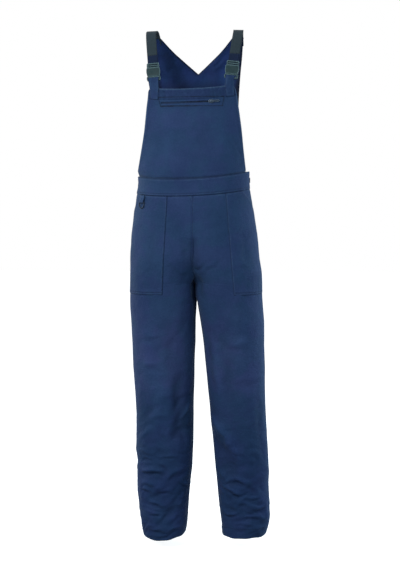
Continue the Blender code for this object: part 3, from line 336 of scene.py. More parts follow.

# Topstitching along the edges: two points on the body in millimetres (across, depth, height),
# then the distances of its rows from the edge, and its style: "rolled" is an edge turned over
# and rolled, "doubled" one turned down double, and "drawn" one whose last row is drawn down
# into the cloth. The finish paints a highlight along rolled edges, shade over the doubled band,
# and a dark line of shade along drawn rows.
EDGE_STITCHES = {
    "front_leg_left": (
        ((-155, 0, 0), (-172, 0, 1010), (2.0, 8.5)),
        ((-28, 0, 0), (3, 0, 751), (2.0,)),
        ((3, 0, 751), (-5, -119, 1004), (1.8, 6.5)),
        ((-155, 0, 0), (-28, 0, 0), (29.0,)),
    ),
    "front_leg_right": (
        ((212, 0, 0), (163, 0, 1023), (2.0, 8.5)),
        ((80, 0, 0), (3, 0, 751), (2.0,)),
        ((3, 0, 751), (-5, -119, 1004), (1.8,)),
        ((212, 0, 0), (80, 0, 0), (29.0,)),
    ),
    "back_leg_left": (
        ((-28, 0, 0), (3, 0, 751), (2.0, 8.5)),
        ((3, 0, 751), (-5, 115, 1016), (2.0, 8.5)),
        ((-155, 0, 0), (-28, 0, 0), (29.0,)),
    ),
    "back_leg_right": (
        ((80, 0, 0), (3, 0, 751), (2.0,)),
        ((3, 0, 751), (-5, 115, 1016), (2.0,)),
        ((212, 0, 0), (80, 0, 0), (29.0,)),
    ),
    "hip_pocket_left": (
        ((-71, -118, 1004), (-84, -105, 721), (1.6,)),
        ((-84, -105, 721), (-190, 0, 721), (1.6, 7.5), "drawn"),
        ((-137, -80, 1012), (-178, 0, 956), (1.6, 7.5)),
    ),
    "hip_pocket_right": (
        ((94, -112, 1008), (120, -95, 721), (1.6,)),
        ((120, -95, 721), (196, 0, 721), (1.6, 7.5), "drawn"),
        ((137, -80, 1020), (177, 0, 965), (1.6, 7.5)),
    ),
    "waistband_front": (
        ((-163, 30, 1060), (158, 30, 1075), (2.0,)),
        ((-168, 30, 1010), (162, 30, 1022), (1.2, 7.0), "drawn"),
    ),
    "waistband_back": (
        ((-158, 40, 1060), (152, 40, 1075), (2.0,)),
        ((-163, 40, 1010), (157, 40, 1022), (2.0,)),
    ),
    "bib": (
        ((-163, -10, 1060), (-126, -95, 1312), (1.8, 9.0), "rolled"),
        ((151, -40, 1074), (119, -95, 1320), (1.8, 9.0), "rolled"),
        ((-126, -95, 1312), (119, -95, 1320), (2.2,), "rolled", "doubled"),
    ),
    "back_panel": (
        ((-111, 50, 1463), (0, 111, 1364), (2.0, 9.0)),
        ((0, 111, 1364), (111, 50, 1463), (2.0, 9.0)),
        ((-141, 40, 1463), (-158, 40, 1068), (2.0, 9.0)),
        ((141, 40, 1463), (158, 40, 1068), (2.0, 9.0)),
    ),
}

# Topstitching across a piece: runs of (across, height) in millimetres.
LINE_STITCHES = {
    "bib": (
        ((-95, 1283), (90, 1285), (86, 1260), (-90, 1258)),
        ((-93, 1312), (-93, 1284)),
        ((-154, 1066), (-60, 1060), (24, 1056)),
    ),
}

# how far the folds push the side seams out or in, for each side of the garment: where this
# starts across it, then height and shift in millimetres
SIDE_FOLDS = {
    -1: (
        0.090,
        (
            (0, 0.0), (55, -1.2), (90, -2.6), (123, -3.2), (158, -4.4), (192, -3.2),
            (226, -1.2), (260, -4.3), (295, -3.2), (363, -1.0), (431, -1.5), (500, -2.9),
            (568, -1.2), (637, -2.0), (671, -2.3), (734, 0.0), (777, 0.9), (820, 2.0),
            (863, 3.5), (906, 2.6), (960, 0.0), (1012, 0.0), (1036, 3.5), (1062, 2.5),
            (1075, -2.6), (1110, -2.0), (1150, -1.2), (1190, 0.0),
        ),
    ),
    1: (
        0.130,
        (
            (0, 0.0), (55, 3.0), (90, -0.5), (158, 0.5), (192, 3.2), (260, 2.6),
            (295, 1.8), (363, 1.2), (396, 1.2), (465, 2.3), (500, 2.9), (568, 0.6),
            (637, 2.9), (671, 1.8), (734, 0.0), (777, 2.0), (820, 0.0), (863, 0.9),
            (906, 0.3), (949, 2.3), (985, 2.0), (1010, 0.0), (1075, 0.0),
        ),
    ),
}

# how far the neck edge of the back rises beside the straps: distance across, then the rise,
# in millimetres
NECK_RISE = ((0, 0.0), (66, 0.0), (82, 2.0), (95, 5.0), (107, 7.5), (112, 0.0))

# how far the webbing leans in towards the middle of the back, in millimetres
LEAN = {"webbing_left": 5.5, "webbing_right": 3.0}

# how far the top of each tab spreads in the buckle's slot, left and right, in millimetres
SPREAD = {"strap_tab_left": (5.0, 2.7), "strap_tab_right": (4.5, -1.0)}


# ---------------------------------------------------------------- short sums


def rise(values, start, over):
    """Nothing up to a start, then growing to one over a length."""
    return np.clip((values - start) / over, 0, 1)


def fall(values, end, over):
    """One, then shrinking over a length to nothing at an end."""
    return np.clip((end - values) / over, 0, 1)


def nearness(away, reach):
    """One where there is no distance, shrinking to nothing at a reach."""
    return np.clip(1 - away / reach, 0, 1)


def bell(away, half):
    """A smooth hump of a half width."""
    return np.exp(-((away / half) ** 2))


def ripple(u, v, rate, layer, shift=0.0):
    """Soft noise at a place on a pattern, at a rate across and along. Each layer differs."""
    return noise.noise(Vector((u * rate[0], v * rate[1] + shift, layer)))


def wave(values, size, rate, start=0.0):
    return size * np.sin(values * rate + start)


def lit(dark, share):
    """The light left between a dark place, at no share, and full light."""
    return dark + (1 - dark) * share


def read_all(items, key, width=1, kind=float):
    """A value of every item of a mesh, as an array."""
    values = np.empty(len(items) * width, kind)
    items.foreach_get(key, values)
    return values.reshape(-1, width) if width > 1 else values


def points_of(mesh, key="co"):
    return read_all(mesh.vertices, key, 3)


def put_points(mesh, points):
    mesh.vertices.foreach_set("co", points.ravel())
    mesh.update()


def middle_of(node):
    low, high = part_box(node)
    return (low + high) / 2


# ---------------------------------------------------------------- taking a cloth face off its solid

SHARP_TURN = math.radians(68)  # a face of cloth ends where its solid turns more sharply
CORNER_TURN = math.radians(38)  # the edge of a piece has a corner where it turns more sharply
DOUBLED_POINTS = 0.02 * MM
FITTING_ROUNDS = 4


def merged_copy(node):
    """A copy of a node's solid with its doubled points joined."""
    bm = bmesh.new()
    bm.from_mesh(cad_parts[node].data)
    bmesh.ops.remove_doubles(bm, verts=bm.verts, dist=DOUBLED_POINTS)
    return bm


def into_cells(bm, turn):
    """Joins triangles into smooth four-sided cells where they meet at less than a turn."""
    bmesh.ops.join_triangles(
        bm, faces=bm.faces, angle_face_threshold=turn, angle_shape_threshold=math.pi
    )
    for face in bm.faces:
        face.smooth = True


def face_groups(bm):
    """Faces that run into each other without a sharp edge between them."""
    groups, seen = [], set()
    for first in bm.faces:
        if first in seen:
            continue
        group, waiting = [], [first]
        seen.add(first)
        while waiting:
            face = waiting.pop()
            group.append(face)
            for edge in face.edges:
                if len(edge.link_faces) != 2 or edge.calc_face_angle(0.0) > SHARP_TURN:
                    continue
                for other in edge.link_faces:
                    if other not in seen:
                        seen.add(other)
                        waiting.append(other)
        groups.append(group)
    return groups


def outer_face(node, centre):
    """The face of a cloth wall that looks away from a centre, in four-sided cells."""
    bm = merged_copy(node)
    bm.normal_update()

    def outwardness(group):
        return sum(f.calc_area() * f.normal.dot(f.calc_center_median() - centre) for f in group)

    kept = set(max(face_groups(bm), key=outwardness))
    spare = [face for face in bm.faces if face not in kept]
    bmesh.ops.delete(bm, geom=spare, context="FACES")
    into_cells(bm, math.pi)
    keep_corners(bm)
    return bm


def keep_corners(bm):
    """Marks the corners along the edge of a piece, so that smoothing leaves them."""
    marked = bm.verts.layers.float.new("crease_vert")
    for vert in bm.verts:
        runs = [e.other_vert(vert).co - vert.co for e in vert.link_edges if e.is_boundary]
        if len(runs) == 2 and math.pi - runs[0].angle(runs[1]) > CORNER_TURN:
            vert[marked] = 1.0


def add_object(name, data):
    obj = bpy.data.objects.new(name, data)
    bpy.context.scene.collection.objects.link(obj)
    return obj


def new_object(name, bm):
    mesh = bpy.data.meshes.new(name)
    bm.to_mesh(mesh)
    bm.free()
    return add_object(name, mesh)


def settled(obj):
    """Makes what the modifiers give the piece's own mesh."""
    graph = bpy.context.evaluated_depsgraph_get()
    mesh = bpy.data.meshes.new_from_object(obj.evaluated_get(graph))
    obj.modifiers.clear()
    obj.data = mesh
    return obj


def round_off(obj, levels):
    """Smooths a coarse face so that it still passes through its own points."""
    modifier = obj.modifiers.new("Round", "SUBSURF")
    modifier.levels = modifier.render_levels = 1
    modifier.boundary_smooth = "PRESERVE_CORNERS"
    modifier.uv_smooth = "NONE"
    target = points_of(obj.data)
    cage = target.copy()
    for _ in range(FITTING_ROUNDS):
        graph = bpy.context.evaluated_depsgraph_get()
        shown = obj.evaluated_get(graph).to_mesh()
        cage += target - points_of(shown)[: len(target)]
        obj.evaluated_get(graph).to_mesh_clear()
        put_points(obj.data, cage)
    modifier.levels = modifier.render_levels = levels
    return settled(obj)


# ---------------------------------------------------------------- the flat pattern


def unwrap(obj):
    """Unwraps a piece whole, with nothing else selected."""
    for other in bpy.context.selected_objects:
        other.select_set(False)
    bpy.context.view_layer.objects.active = obj
    obj.select_set(True)
    bpy.ops.object.mode_set(mode="EDIT")
    bpy.ops.mesh.select_all(action="SELECT")
    bpy.ops.uv.unwrap(method="ANGLE_BASED", margin=0.0)
    bpy.ops.object.mode_set(mode="OBJECT")


def true_size(mesh, flat):
    """A pattern brought to the cloth's own area in metres, seen from its right side."""
    area = turned = 0.0
    for poly in mesh.polygons:
        ring = flat[poly.loop_start : poly.loop_start + poly.loop_total]
        after = np.roll(ring, -1, axis=0)
        turned += float((ring[:, 0] * after[:, 1] - ring[:, 1] * after[:, 0]).sum()) / 2
        area += poly.area
    flat = flat * math.sqrt(area / abs(turned))
    if turned < 0:
        flat[:, 0] *= -1
    return flat - flat.mean(axis=0)


def grain_of(mesh, flat, upright):
    """The way the grain runs on a pattern: up the body, or along the piece's own length."""
    if not upright:
        return np.linalg.eigh(flat.T @ flat)[1][:, -1]
    heights = points_of(mesh)[read_all(mesh.loops, "vertex_index", kind=int)][:, 2]
    slope, *_ = np.linalg.lstsq(flat, heights - heights.mean(), rcond=None)
    return slope / np.linalg.norm(slope)


def lay_flat(obj, upright):
    """Unrolls a piece onto its flat pattern, in metres, with its grain upright."""
    unwrap(obj)
    mesh = obj.data
    layer = mesh.uv_layers.active
    layer.name = "pattern"
    flat = true_size(mesh, read_all(layer.data, "uv", 2))
    grain = grain_of(mesh, flat, upright)
    flat = np.stack((flat @ np.array((grain[1], -grain[0])), flat @ grain), axis=1)
    layer.data.foreach_set("uv", flat.ravel())
    mesh.update()


class Cloth:
    """A cloth piece with its flat pattern, and what is sewn on it.

    Kept as places on the pattern: rows of stitches, runs of sewn edge with their rows'
    distances and style, frames of stitching, and open lines drawn down into the cloth.
    """

    def __init__(self, obj):
        self.obj = obj
        self.rows = []
        self.runs = []
        self.frames = []
        self.open_lines = []
        self.outline = self.edge_loop()
        self.refresh()
        self.lift = np.zeros(len(self.points))
        self.cut = self.flat.max(axis=0) - self.flat.min(axis=0)
        a, b, c = (self.flat[self.triangles[:, i]] for i in range(3))
        turn = (b - a)[:, 0] * (c - a)[:, 1] - (b - a)[:, 1] * (c - a)[:, 0]
        self.cut_area = float(np.abs(turn).sum() / 2)

    def refresh(self):
        mesh = self.obj.data
        self.points = points_of(mesh)
        self.normals = points_of(mesh, "normal")
        self.flat = np.zeros((len(mesh.vertices), 2))
        corner = read_all(mesh.loops, "vertex_index", kind=int)
        self.flat[corner] = read_all(mesh.uv_layers["pattern"].data, "uv", 2)
        mesh.calc_loop_triangles()
        self.triangles = read_all(mesh.loop_triangles, "vertices", 3, int)
        lifted = [Vector((u, v, 0.0)) for u, v in self.flat]
        self.pattern = BVHTree.FromPolygons(lifted, self.triangles.tolist())

    def move_to(self, points):
        put_points(self.obj.data, points)
        self.refresh()

    def move_out(self, lift):
        """Moves every point along the outward direction there."""
        self.move_to(self.points + self.normals * lift[:, None])

    def heights(self):
        return self.points[:, 2] + SHOULDER

    def seen(self):
        """Every point as seen from the front: across, and height."""
        return np.stack((self.points[:, 0], self.heights()), axis=1)

    def frontness(self):
        """One on the front of the body, nothing from its side backwards."""
        return rise(-self.points[:, 1], 0.0, FRONT_FADE)

    def edge_distance(self):
        return distance_to(self.flat, [self.flat[self.outline + self.outline[:1]]])

    def on_body(self, u, v):
        """The point and the outward direction on the body for a place on the pattern."""
        spot, _, index, _ = self.pattern.find_nearest(Vector((u, v, 0.0)))
        corners = self.triangles[index]
        flat = [Vector((*self.flat[i], 0.0)) for i in corners]
        point = barycentric_transform(spot, *flat, *[Vector(self.points[i]) for i in corners])
        way = barycentric_transform(spot, *flat, *[Vector(self.normals[i]) for i in corners])
        return point, way.normalized()

    def spots(self, line):
        """The places on the pattern of points seen from the front or back, in millimetres."""
        found = []
        for across, height in line:
            gap = self.seen() - np.array((across * MM, height * MM))
            found.append(self.flat[int((gap**2).sum(axis=1).argmin())])
        return np.array(found)

    def edge_loop(self):
        """The points along the edge of the piece, in order."""
        count = {}
        for poly in self.obj.data.polygons:
            for key in poly.edge_keys:
                count[key] = count.get(key, 0) + 1
        beside = {}
        for (a, b), faces in count.items():
            if faces == 1:
                beside.setdefault(a, []).append(b)
                beside.setdefault(b, []).append(a)
        loops, left = [], set(beside)
        while left:
            here = min(left)
            loop, before = [], None
            while here in left:
                left.discard(here)
                loop.append(here)
                ahead = [p for p in beside[here] if p != before]
                before, here = here, ahead[0]
            loops.append(loop)
        return max(loops, key=len)

    def seamed_edges(self):
        """The parts of the edge that are sewn to other pieces: all but the hem."""
        seamed = []
        for a, b in zip(self.outline, self.outline[1:] + self.outline[:1]):
            run = self.points[b] - self.points[a]
            level = abs(run[2]) < LEVEL_SLOPE * np.linalg.norm(run)
            if not level or self.points[a][2] + SHOULDER > HEM_TOP:
                seamed.append(self.flat[[a, b]])
        return seamed

    def edge_run(self, *ends):
        """Places along the edge, the short way between two points on the body in millimetres."""
        loop = self.outline
        near = []
        for across, depth, height in ends:
            target = np.array((across * MM, depth * MM, height * MM - SHOULDER))
            near.append(int(((self.points[loop] - target) ** 2).sum(axis=1).argmin()))
        first, last = near
        forward = range(first, first + (last - first) % len(loop) + 1)
        back = range(first, first - (first - last) % len(loop) - 1, -1)
        shorter = forward if len(forward) <= len(back) else back
        return self.flat[[loop[i % len(loop)] for i in shorter]]

    def inside(self, run, inset):
        """A run of places moved in from the edge of the pattern."""
        ahead = np.gradient(run, axis=0)
        ahead /= np.maximum(np.linalg.norm(ahead, axis=1), 1e-9)[:, None]
        ways = np.stack((-ahead[:, 1], ahead[:, 0]), axis=1)
        middle = run[len(run) // 2] + ways[len(run) // 2] * 4 * MM
        _, _, _, away = self.pattern.find_nearest(Vector((*middle, 0.0)))
        if away > MM:
            ways = -ways
        return run + ways * inset


# ---------------------------------------------------------------- creases


def curve_through(start, middle, end, steps=14):
    """Places along a bent line through three places."""
    start, middle, end = (np.array(p, float) for p in (start, middle, end))
    lift = middle * 2 - (start + end) / 2
    share = np.linspace(0, 1, steps)[:, None]
    return (1 - share) ** 2 * start + 2 * share * (1 - share) * lift + share**2 * end


def line_distance(places, line):
    """Distance of places from a line, the share along it, and which side of it they are on."""
    best = np.full(len(places), 1e9)
    share = np.zeros(len(places))
    side = np.zeros(len(places))
    for i, (a, b) in enumerate(zip(line, line[1:])):
        run = b - a
        part = np.clip(((places - a) @ run) / max(run @ run, 1e-12), 0, 1)
        gap = places - (a + part[:, None] * run)
        away = np.hypot(gap[:, 0], gap[:, 1])
        nearer = away < best
        best[nearer] = away[nearer]
        share[nearer] = (i + part[nearer]) / (len(line) - 1)
        side[nearer] = np.sign(run[0] * gap[nearer, 1] - run[1] * gap[nearer, 0])
    return best, share, side


def taper(share):
    """A crease is deepest in its middle and runs out at both ends."""
    return np.sin(math.pi * np.clip(share, 0.02, 0.98)) ** 0.7


def crease_lift(cloth, one, places):
    """How far one crease moves each point of the cloth outwards."""
    kind, width, depth, *ends = one
    line = curve_through(*cloth.spots(ends))
    if line[0][0] > line[-1][0]:
        line = line[::-1]
    away, share, side = line_distance(places, line)
    across = away / (width * MM)
    if kind == "ridge":
        shape = np.exp(-(across**2))
    elif kind == "trough":
        shape = -np.exp(-(across**2))
    else:
        signed = across * side
        shape = 0.75 * np.exp(-((signed - 1.0) ** 2)) - np.exp(-((signed + 0.1) ** 2 * 1.6))
    return depth * MM * taper(share) * shape


def front_seam_sunk(cloth):
    """How far back the crease along the centre front seam lies, alike on both legs."""
    half, depth, *line = FRONT_SEAM_CREASE
    away, share, _ = line_distance(cloth.seen(), curve_through(*line) * MM)
    return depth * MM * taper(share) * cloth.frontness() * bell(away, half * MM)


def quiet_top(cloth):
    """The legs and pockets lie even just below the waistband."""
    height = cloth.heights()
    return np.where(height < BAND_MIDDLE, fall(height, EVEN_FROM, EVEN_OVER), 1.0)


def crease(node, cloth):
    """Lays a piece's creases in. All but the one at the front seam die out at its seams."""
    lift = np.zeros(len(cloth.points))
    wander = [[ripple(u, v, WANDERS, layer) for layer in (4.0, 40.0)] for u, v in cloth.flat]
    places = cloth.flat + np.array(wander) * WANDER
    for one in CREASES.get(node, ()):
        lift += crease_lift(cloth, one, places)
    lift *= [1 + PATCHY * ripple(u, v, PATCHES, 9.0) for u, v in cloth.flat]
    from_seam = distance_to(cloth.flat, cloth.seamed_edges())
    lift *= np.clip(from_seam / CREASE_FADE, 0, 1) * quiet_top(cloth)
    moved = cloth.points + cloth.normals * lift[:, None]
    cloth.lift = lift
    if "front_leg" in node:
        sunk = front_seam_sunk(cloth)
        moved[:, 1] += sunk
        cloth.lift = lift - sunk
    cloth.move_to(moved)


# ---------------------------------------------------------------- sewing


def evenly(run, step):
    """Places along a run at an even step, with a place a little ahead of each."""
    lengths = np.linalg.norm(np.diff(run, axis=0), axis=1)
    along = np.concatenate(([0.0], np.cumsum(lengths)))
    at = np.arange(step / 2, along[-1], step)
    places = np.stack([np.interp(at, along, run[:, i]) for i in (0, 1)], axis=1)
    ahead = np.stack([np.interp(at + step / 4, along, run[:, i]) for i in (0, 1)], axis=1)
    return places, ahead


def bead():
    """One small bead, a unit long and thick: its points and its three-sided faces."""
    bm = bmesh.new()
    bmesh.ops.create_icosphere(bm, subdivisions=1, radius=1.0)
    points = np.array([vert.co[:] for vert in bm.verts])
    faces = np.array([[vert.index for vert in face.verts] for face in bm.faces])
    bm.free()
    return points, faces


def beads(name, middles, turns):
    """One piece of many small beads, each turned, sized and placed."""
    points, faces = bead()
    placed = np.einsum("pk,nkx->npx", points, np.array(turns)) + np.array(middles)[:, None]
    shifts = np.arange(len(middles)) * len(points)
    joined = (faces[None] + shifts[:, None, None]).reshape(-1, 3)
    mesh = bpy.data.meshes.new(name)
    mesh.from_pydata(placed.reshape(-1, 3).tolist(), [], joined.tolist())
    mesh.shade_smooth()
    return add_object(name, mesh)


def lay_stitches(cloth, row):
    """For each stitch of a row: its middle, and three rows that turn and size its bead."""
    middles, turns = [], []
    places, ahead = evenly(row, STITCH + STITCH_GAP)
    for place, place_ahead in zip(places, ahead):
        point, out = cloth.on_body(*place)
        beyond, _ = cloth.on_body(*place_ahead)
        if (beyond - point).length < STUCK:
            continue
        run = (beyond - point).normalized()
        across = out.cross(run).normalized()
        high = run.cross(across) * THREAD * THREAD_FLATNESS
        turns.append(Matrix((run * STITCH / 2, across * THREAD, high)))
        middles.append(point + out * THREAD * THREAD_PROUD)
    return middles, turns


def sew(name, cloths, finish):
    """All the topstitching of some pieces, one small bead of thread for each stitch."""
    middles, turns = [], []
    for cloth in cloths:
        for row in cloth.rows:
            more_middles, more_turns = lay_stitches(cloth, row)
            middles += more_middles
            turns += more_turns
    obj = beads(name, middles, turns)
    obj.data.materials.append(finish)
    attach(obj, "garment")


def topstitch(node, cloth):
    """Lays out the rows of stitches of a piece, along its edges and across it."""
    for start, end, insets, *style in EDGE_STITCHES.get(node, ()):
        run = cloth.edge_run(start, end)
        cloth.runs.append((run, insets, style))
        for inset in insets:
            cloth.rows.append(cloth.inside(run, inset * MM))
        if "drawn" in style:
            cloth.open_lines.append(cloth.rows[-1])
    for line in LINE_STITCHES.get(node, ()):
        places = cloth.spots(line)
        if len(places) > 2:
            cloth.frames.append(places)
            cloth.open_lines.append(places[2:4])
            places = np.concatenate((places, places[:1]))
        else:
            cloth.open_lines.append(places)
        cloth.rows.append(places)


# ---------------------------------------------------------------- notes for the finishes


def kept_in_tree(points):
    tree = KDTree(len(points))
    for i, point in enumerate(points):
        tree.insert(point, i)
    tree.balance()
    return tree


def distance_to(places, runs):
    """How far places on a pattern are from the nearest of some runs."""
    marks = [(u, v, 0.0) for run in runs for u, v in evenly(run, MARK_STEP)[0]]
    if not marks:
        return np.full(len(places), FAR)
    tree = kept_in_tree(marks)
    return np.array([tree.find((u, v, 0.0))[2] for u, v in places])


def outside_of(places, ring):
    """Signed distance of places from a closed ring of straight sides, negative inside it."""
    away = np.full(len(places), FAR)
    within = np.ones(len(places), bool)
    middle = ring.mean(axis=0)
    for a, b in zip(ring, np.roll(ring, -1, axis=0)):
        run = b - a
        part = np.clip(((places - a) @ run) / (run @ run), 0, 1)
        gap = places - (a + part[:, None] * run)
        away = np.minimum(away, np.hypot(gap[:, 0], gap[:, 1]))
        turn = run[0] * (places[:, 1] - a[1]) - run[1] * (places[:, 0] - a[0])
        home = run[0] * (middle[1] - a[1]) - run[1] * (middle[0] - a[0])
        within &= turn * home > 0
    return np.where(within, -away, away)


def note(cloth, name, values):
    """Stores a value for every point, for the finish to read."""
    attribute = cloth.obj.data.attributes.new(name, "FLOAT", "POINT")
    attribute.data.foreach_set("value", values.astype(np.float32))


def runs_in_style(cloth, style):
    return [run for run, _, styles in cloth.runs if style in styles]


def past_row(cloth, i):
    """How far each point is past the first or second row of its nearest sewn edge."""
    past = np.full(len(cloth.points), FAR)
    for run, insets, _ in cloth.runs:
        if i < len(insets):
            away = distance_to(cloth.flat, [run]) - insets[i] * MM
            past = np.where(np.abs(away) < np.abs(past), away, past)
    return past


def note_seams(cloth):
    """Stores where each point lies from the piece's edges, rows and folds, and its zones: worn
    knees, and painted shade on the doubled band and the lower legs.
    """
    note(cloth, "from_edge", cloth.edge_distance())
    note(cloth, "past_drawn", distance_to(cloth.flat, cloth.open_lines))
    note(cloth, "past_row_1", past_row(cloth, 0))
    note(cloth, "past_row_2", past_row(cloth, 1))
    note(cloth, "from_roll", distance_to(cloth.flat, runs_in_style(cloth, "rolled")))
    framed = [outside_of(cloth.flat, ring) for ring in cloth.frames]
    note(cloth, "past_frame", framed[0] if framed else np.full(len(cloth.points), FAR))
    # the doubled band at the bib's top gets painted shade
    if "doubled" not in cloth.obj.data.attributes:
        from_top = distance_to(cloth.flat, runs_in_style(cloth, "doubled"))
        note(cloth, "doubled", fall(from_top, TURNED_DOWN, 2 * MM))
    note(cloth, "fold_lift", cloth.lift)
    height = cloth.heights()
    note(cloth, "knee", cloth.frontness() * np.interp(height, *KNEE_FADE))
    # painted shade, darker towards the hems
    note(cloth, "low", np.interp(height, *LOWER_LEG_SHADE))


def note_inner_shadow(cloth):
    """Stores how dark the back is inside: at its edges, above the bib and in the long fold."""
    seen = cloth.seen()
    neck = distance_to(cloth.flat, [run for run, _, _ in cloth.runs[:2]])
    sides = distance_to(cloth.flat, [run for run, _, _ in cloth.runs[2:]])
    fold, share, _ = line_distance(seen, curve_through(*INNER_FOLD) * MM)
    turned = np.where(seen[:, 0] < 0, 3.0, 1.3) * MM
    at_neck = lit(0.32, rise(neck, turned, 2.6 * MM))
    at_sides = lit(0.22, rise(sides, 4 * MM, 16 * MM))
    above_bib = lit(0.62, rise(seen[:, 1], BIB_TOP, 26 * MM))
    in_fold = 1 - 0.30 * bell(fold, 17 * MM) * np.clip(share / 0.15 + 0.4, 0, 1)
    note(cloth, "inner_shadow", 1 - at_neck * at_sides * above_bib * in_fold)


# ---------------------------------------------------------------- shaping the cloth


def slack(cloth, seed, amount):
    """Soft unevenness all over a piece, fading out at its edges so that seams stay together.
    Below the knee it turns into small sharp rumples, patchy and mostly level."""
    low = fall(cloth.heights(), RUMPLED_BELOW, RUMPLED_OVER)
    lift = np.empty(len(cloth.points))
    for i, (u, v) in enumerate(cloth.flat):
        lift[i] = ripple(u, v, BROAD, seed) + 0.45 * ripple(u, v, FINE, seed + 7.0)
        facet = abs(ripple(u, v, FACETS, seed + 13.0)) - 0.2
        lift[i] += (0.25 + 1.5 * low[i]) * facet
        if low[i] > 0:
            lift[i] += low[i] * rumple(u, v, seed)
    level = 0.35 + 0.65 * np.abs(cloth.normals[:, 1])
    near = np.clip(cloth.edge_distance() / SLACK_FADE, 0, 1)
    cloth.move_out(lift * amount * (1 + 0.5 * low) * near * quiet_top(cloth) * level)


def rumple(u, v, seed):
    """How high a small sharp rumple stands at a place on the pattern."""
    swirl = 2.1 * ripple(u, v, SWIRLS, seed + 3.0)
    sharp = 1 - 2.2 * abs(ripple(u, v, RUMPLES, seed + 11.0, swirl))
    patch = 0.5 + ripple(u, v, RUMPLE_PATCHES, seed + 5.0)
    return 1.3 * max(patch, 0.0) * max(sharp, 0.0) ** 3


def lie_on(cloth, under, before):
    """Carries a pocket with the folds of the leg that it is sewn to."""
    tree = kept_in_tree(before)
    shift = under.points - before
    moved = cloth.points.copy()
    for i, point in enumerate(cloth.points):
        moved[i] += shift[[index for _, index, _ in tree.find_n(point, 6)]].mean(axis=0)
    cloth.move_to(moved)


def press(cloth):
    """Pressed and sewn down, the edges of a piece lie closer to what is under them."""
    cloth.move_out(-PRESSED * nearness(cloth.edge_distance(), PRESSED_REACH) ** 2)


def push_sides(points):
    """Folds that wrap round the legs and waist push their sides out and in."""
    moved = points.copy()
    height = (moved[:, 2] + SHOULDER) / MM
    for way, (inner, table) in SIDE_FOLDS.items():
        outward = rise(way * moved[:, 0], inner, SIDE_REACH)
        moved[:, 0] += np.interp(height, *zip(*table)) * MM * outward
    return moved


def close_seams(node, cloth):
    """The two edges of each side and inner seam touch, so that no light comes through."""
    near = nearness(distance_to(cloth.flat, cloth.seamed_edges()), SEAM_REACH)
    at_seam = near * (np.abs(cloth.points[:, 1]) < SEAM_REACH)
    moved = cloth.points.copy()
    moved[:, 1] += (SEAM_GAP if "front" in node else -SEAM_GAP) * at_seam
    cloth.move_to(moved)


def close_thighs(cloth):
    """The inner thighs lie against each other in a shallow S, so that no light comes through."""
    height = cloth.heights()
    near = bell(cloth.points[:, 0] - SEAM_MIDDLE, 0.030)
    span = rise(height, THIGH_LOW, 0.022) * fall(height, THIGH_HIGH, 0.030)
    wave = np.sin(cloth.points[:, 1] * math.pi / 0.050 + 0.6)
    moved = cloth.points.copy()
    moved[:, 0] += THIGH_WAVE * wave * near * span
    cloth.move_to(moved)


def hem_roll(cloth):
    """The hem dips in the middle of each leg, and its turned edge runs slightly uneven."""
    side = "left" if cloth.points[:, 0].mean() < SEAM_MIDDLE else "right"
    middle, half, dip, lift = HEM_DIPS[side]
    height = cloth.heights()
    across = cloth.flat[:, 0]
    moved = cloth.points.copy()
    share = (moved[:, 0] - middle) / half
    moved[:, 2] += nearness(height, HEM_REACH) ** 1.5 * (dip + lift * share**2)
    near = nearness(height, HEM_TOP) * np.clip(np.abs(cloth.normals[:, 1]) * 1.5 - 0.2, 0, 1)
    moved[:, 2] += near * (wave(across, 1.0 * MM, 62) + wave(across, 0.6 * MM, 147, 1.0))
    moved += cloth.normals * (near * wave(across, 1.2 * MM, 95, 0.5))[:, None]
    cloth.move_to(moved)


def tuck_foot(cloth):
    """The foot of the back panel draws in at its sides, behind the bib."""
    low = fall(cloth.heights(), FOOT_TOP, 0.10)
    side = rise(np.abs(cloth.points[:, 0]), 0.09, 0.06)
    moved = cloth.points.copy()
    moved[:, 0] -= np.sign(moved[:, 0]) * FOOT_TUCK * low * side
    cloth.move_to(moved)


def shape_neck(cloth):
    """The neck edge of the back rises beside the straps, and its right shoulder draws in."""
    across = np.abs(cloth.points[:, 0]) / MM
    edge = np.interp(across, *NECK_EDGE) * MM
    moved = cloth.points.copy()
    near = nearness(edge - cloth.heights(), 0.05)
    moved[:, 2] += np.interp(across, *zip(*NECK_RISE)) * MM * near
    shoulder = rise(cloth.points[:, 0], 0.125, 0.015) * rise(cloth.heights(), 1.42, 0.03)
    moved[:, 0] -= SHOULDER_TUCK * shoulder
    cloth.move_to(moved)


def round_corners(cloth):
    """The two top corners of the bib are turned round."""
    moved = cloth.points.copy()
    tops = [int((moved[:, 2] + way * 0.8 * moved[:, 0]).argmax()) for way in (-1, 1)]
    for way, corner in zip((-1, 1), tops):
        inward = (moved[corner, 0] - moved[:, 0]) * way / CORNER_RADIUS
        down = (moved[corner, 2] - moved[:, 2]) / CORNER_RADIUS
        in_reach = (inward < 1) & (down < 1)
        gap = np.stack((1 - inward, 1 - down), axis=1)
        far = np.maximum(np.hypot(gap[:, 0], gap[:, 1]), 1e-6)
        square = np.maximum(np.abs(gap).max(axis=1), 1e-6)
        pull = np.where(in_reach, 1 - square / far, 0.0)
        moved[:, 0] -= gap[:, 0] * pull * CORNER_RADIUS * way
        moved[:, 2] -= gap[:, 1] * pull * CORNER_RADIUS
    cloth.move_to(moved)


def run_behind_band(node, cloth):
    """The edge sewn into the waistband runs on behind it, so that no light comes through."""
    start, end, way = SEWN_IN[node]
    run = cloth.edge_run(start, end)
    near = nearness(distance_to(cloth.flat, [run]), BEHIND_REACH)
    moved = cloth.points - cloth.normals * (near * BEHIND_DEPTH)[:, None]
    moved[:, 2] += way * near * BEHIND_RUN
    if way < 0:
        for inset in SHADOW_INSETS:
            cloth.open_lines.append(cloth.inside(run, inset))
    cloth.move_to(moved)


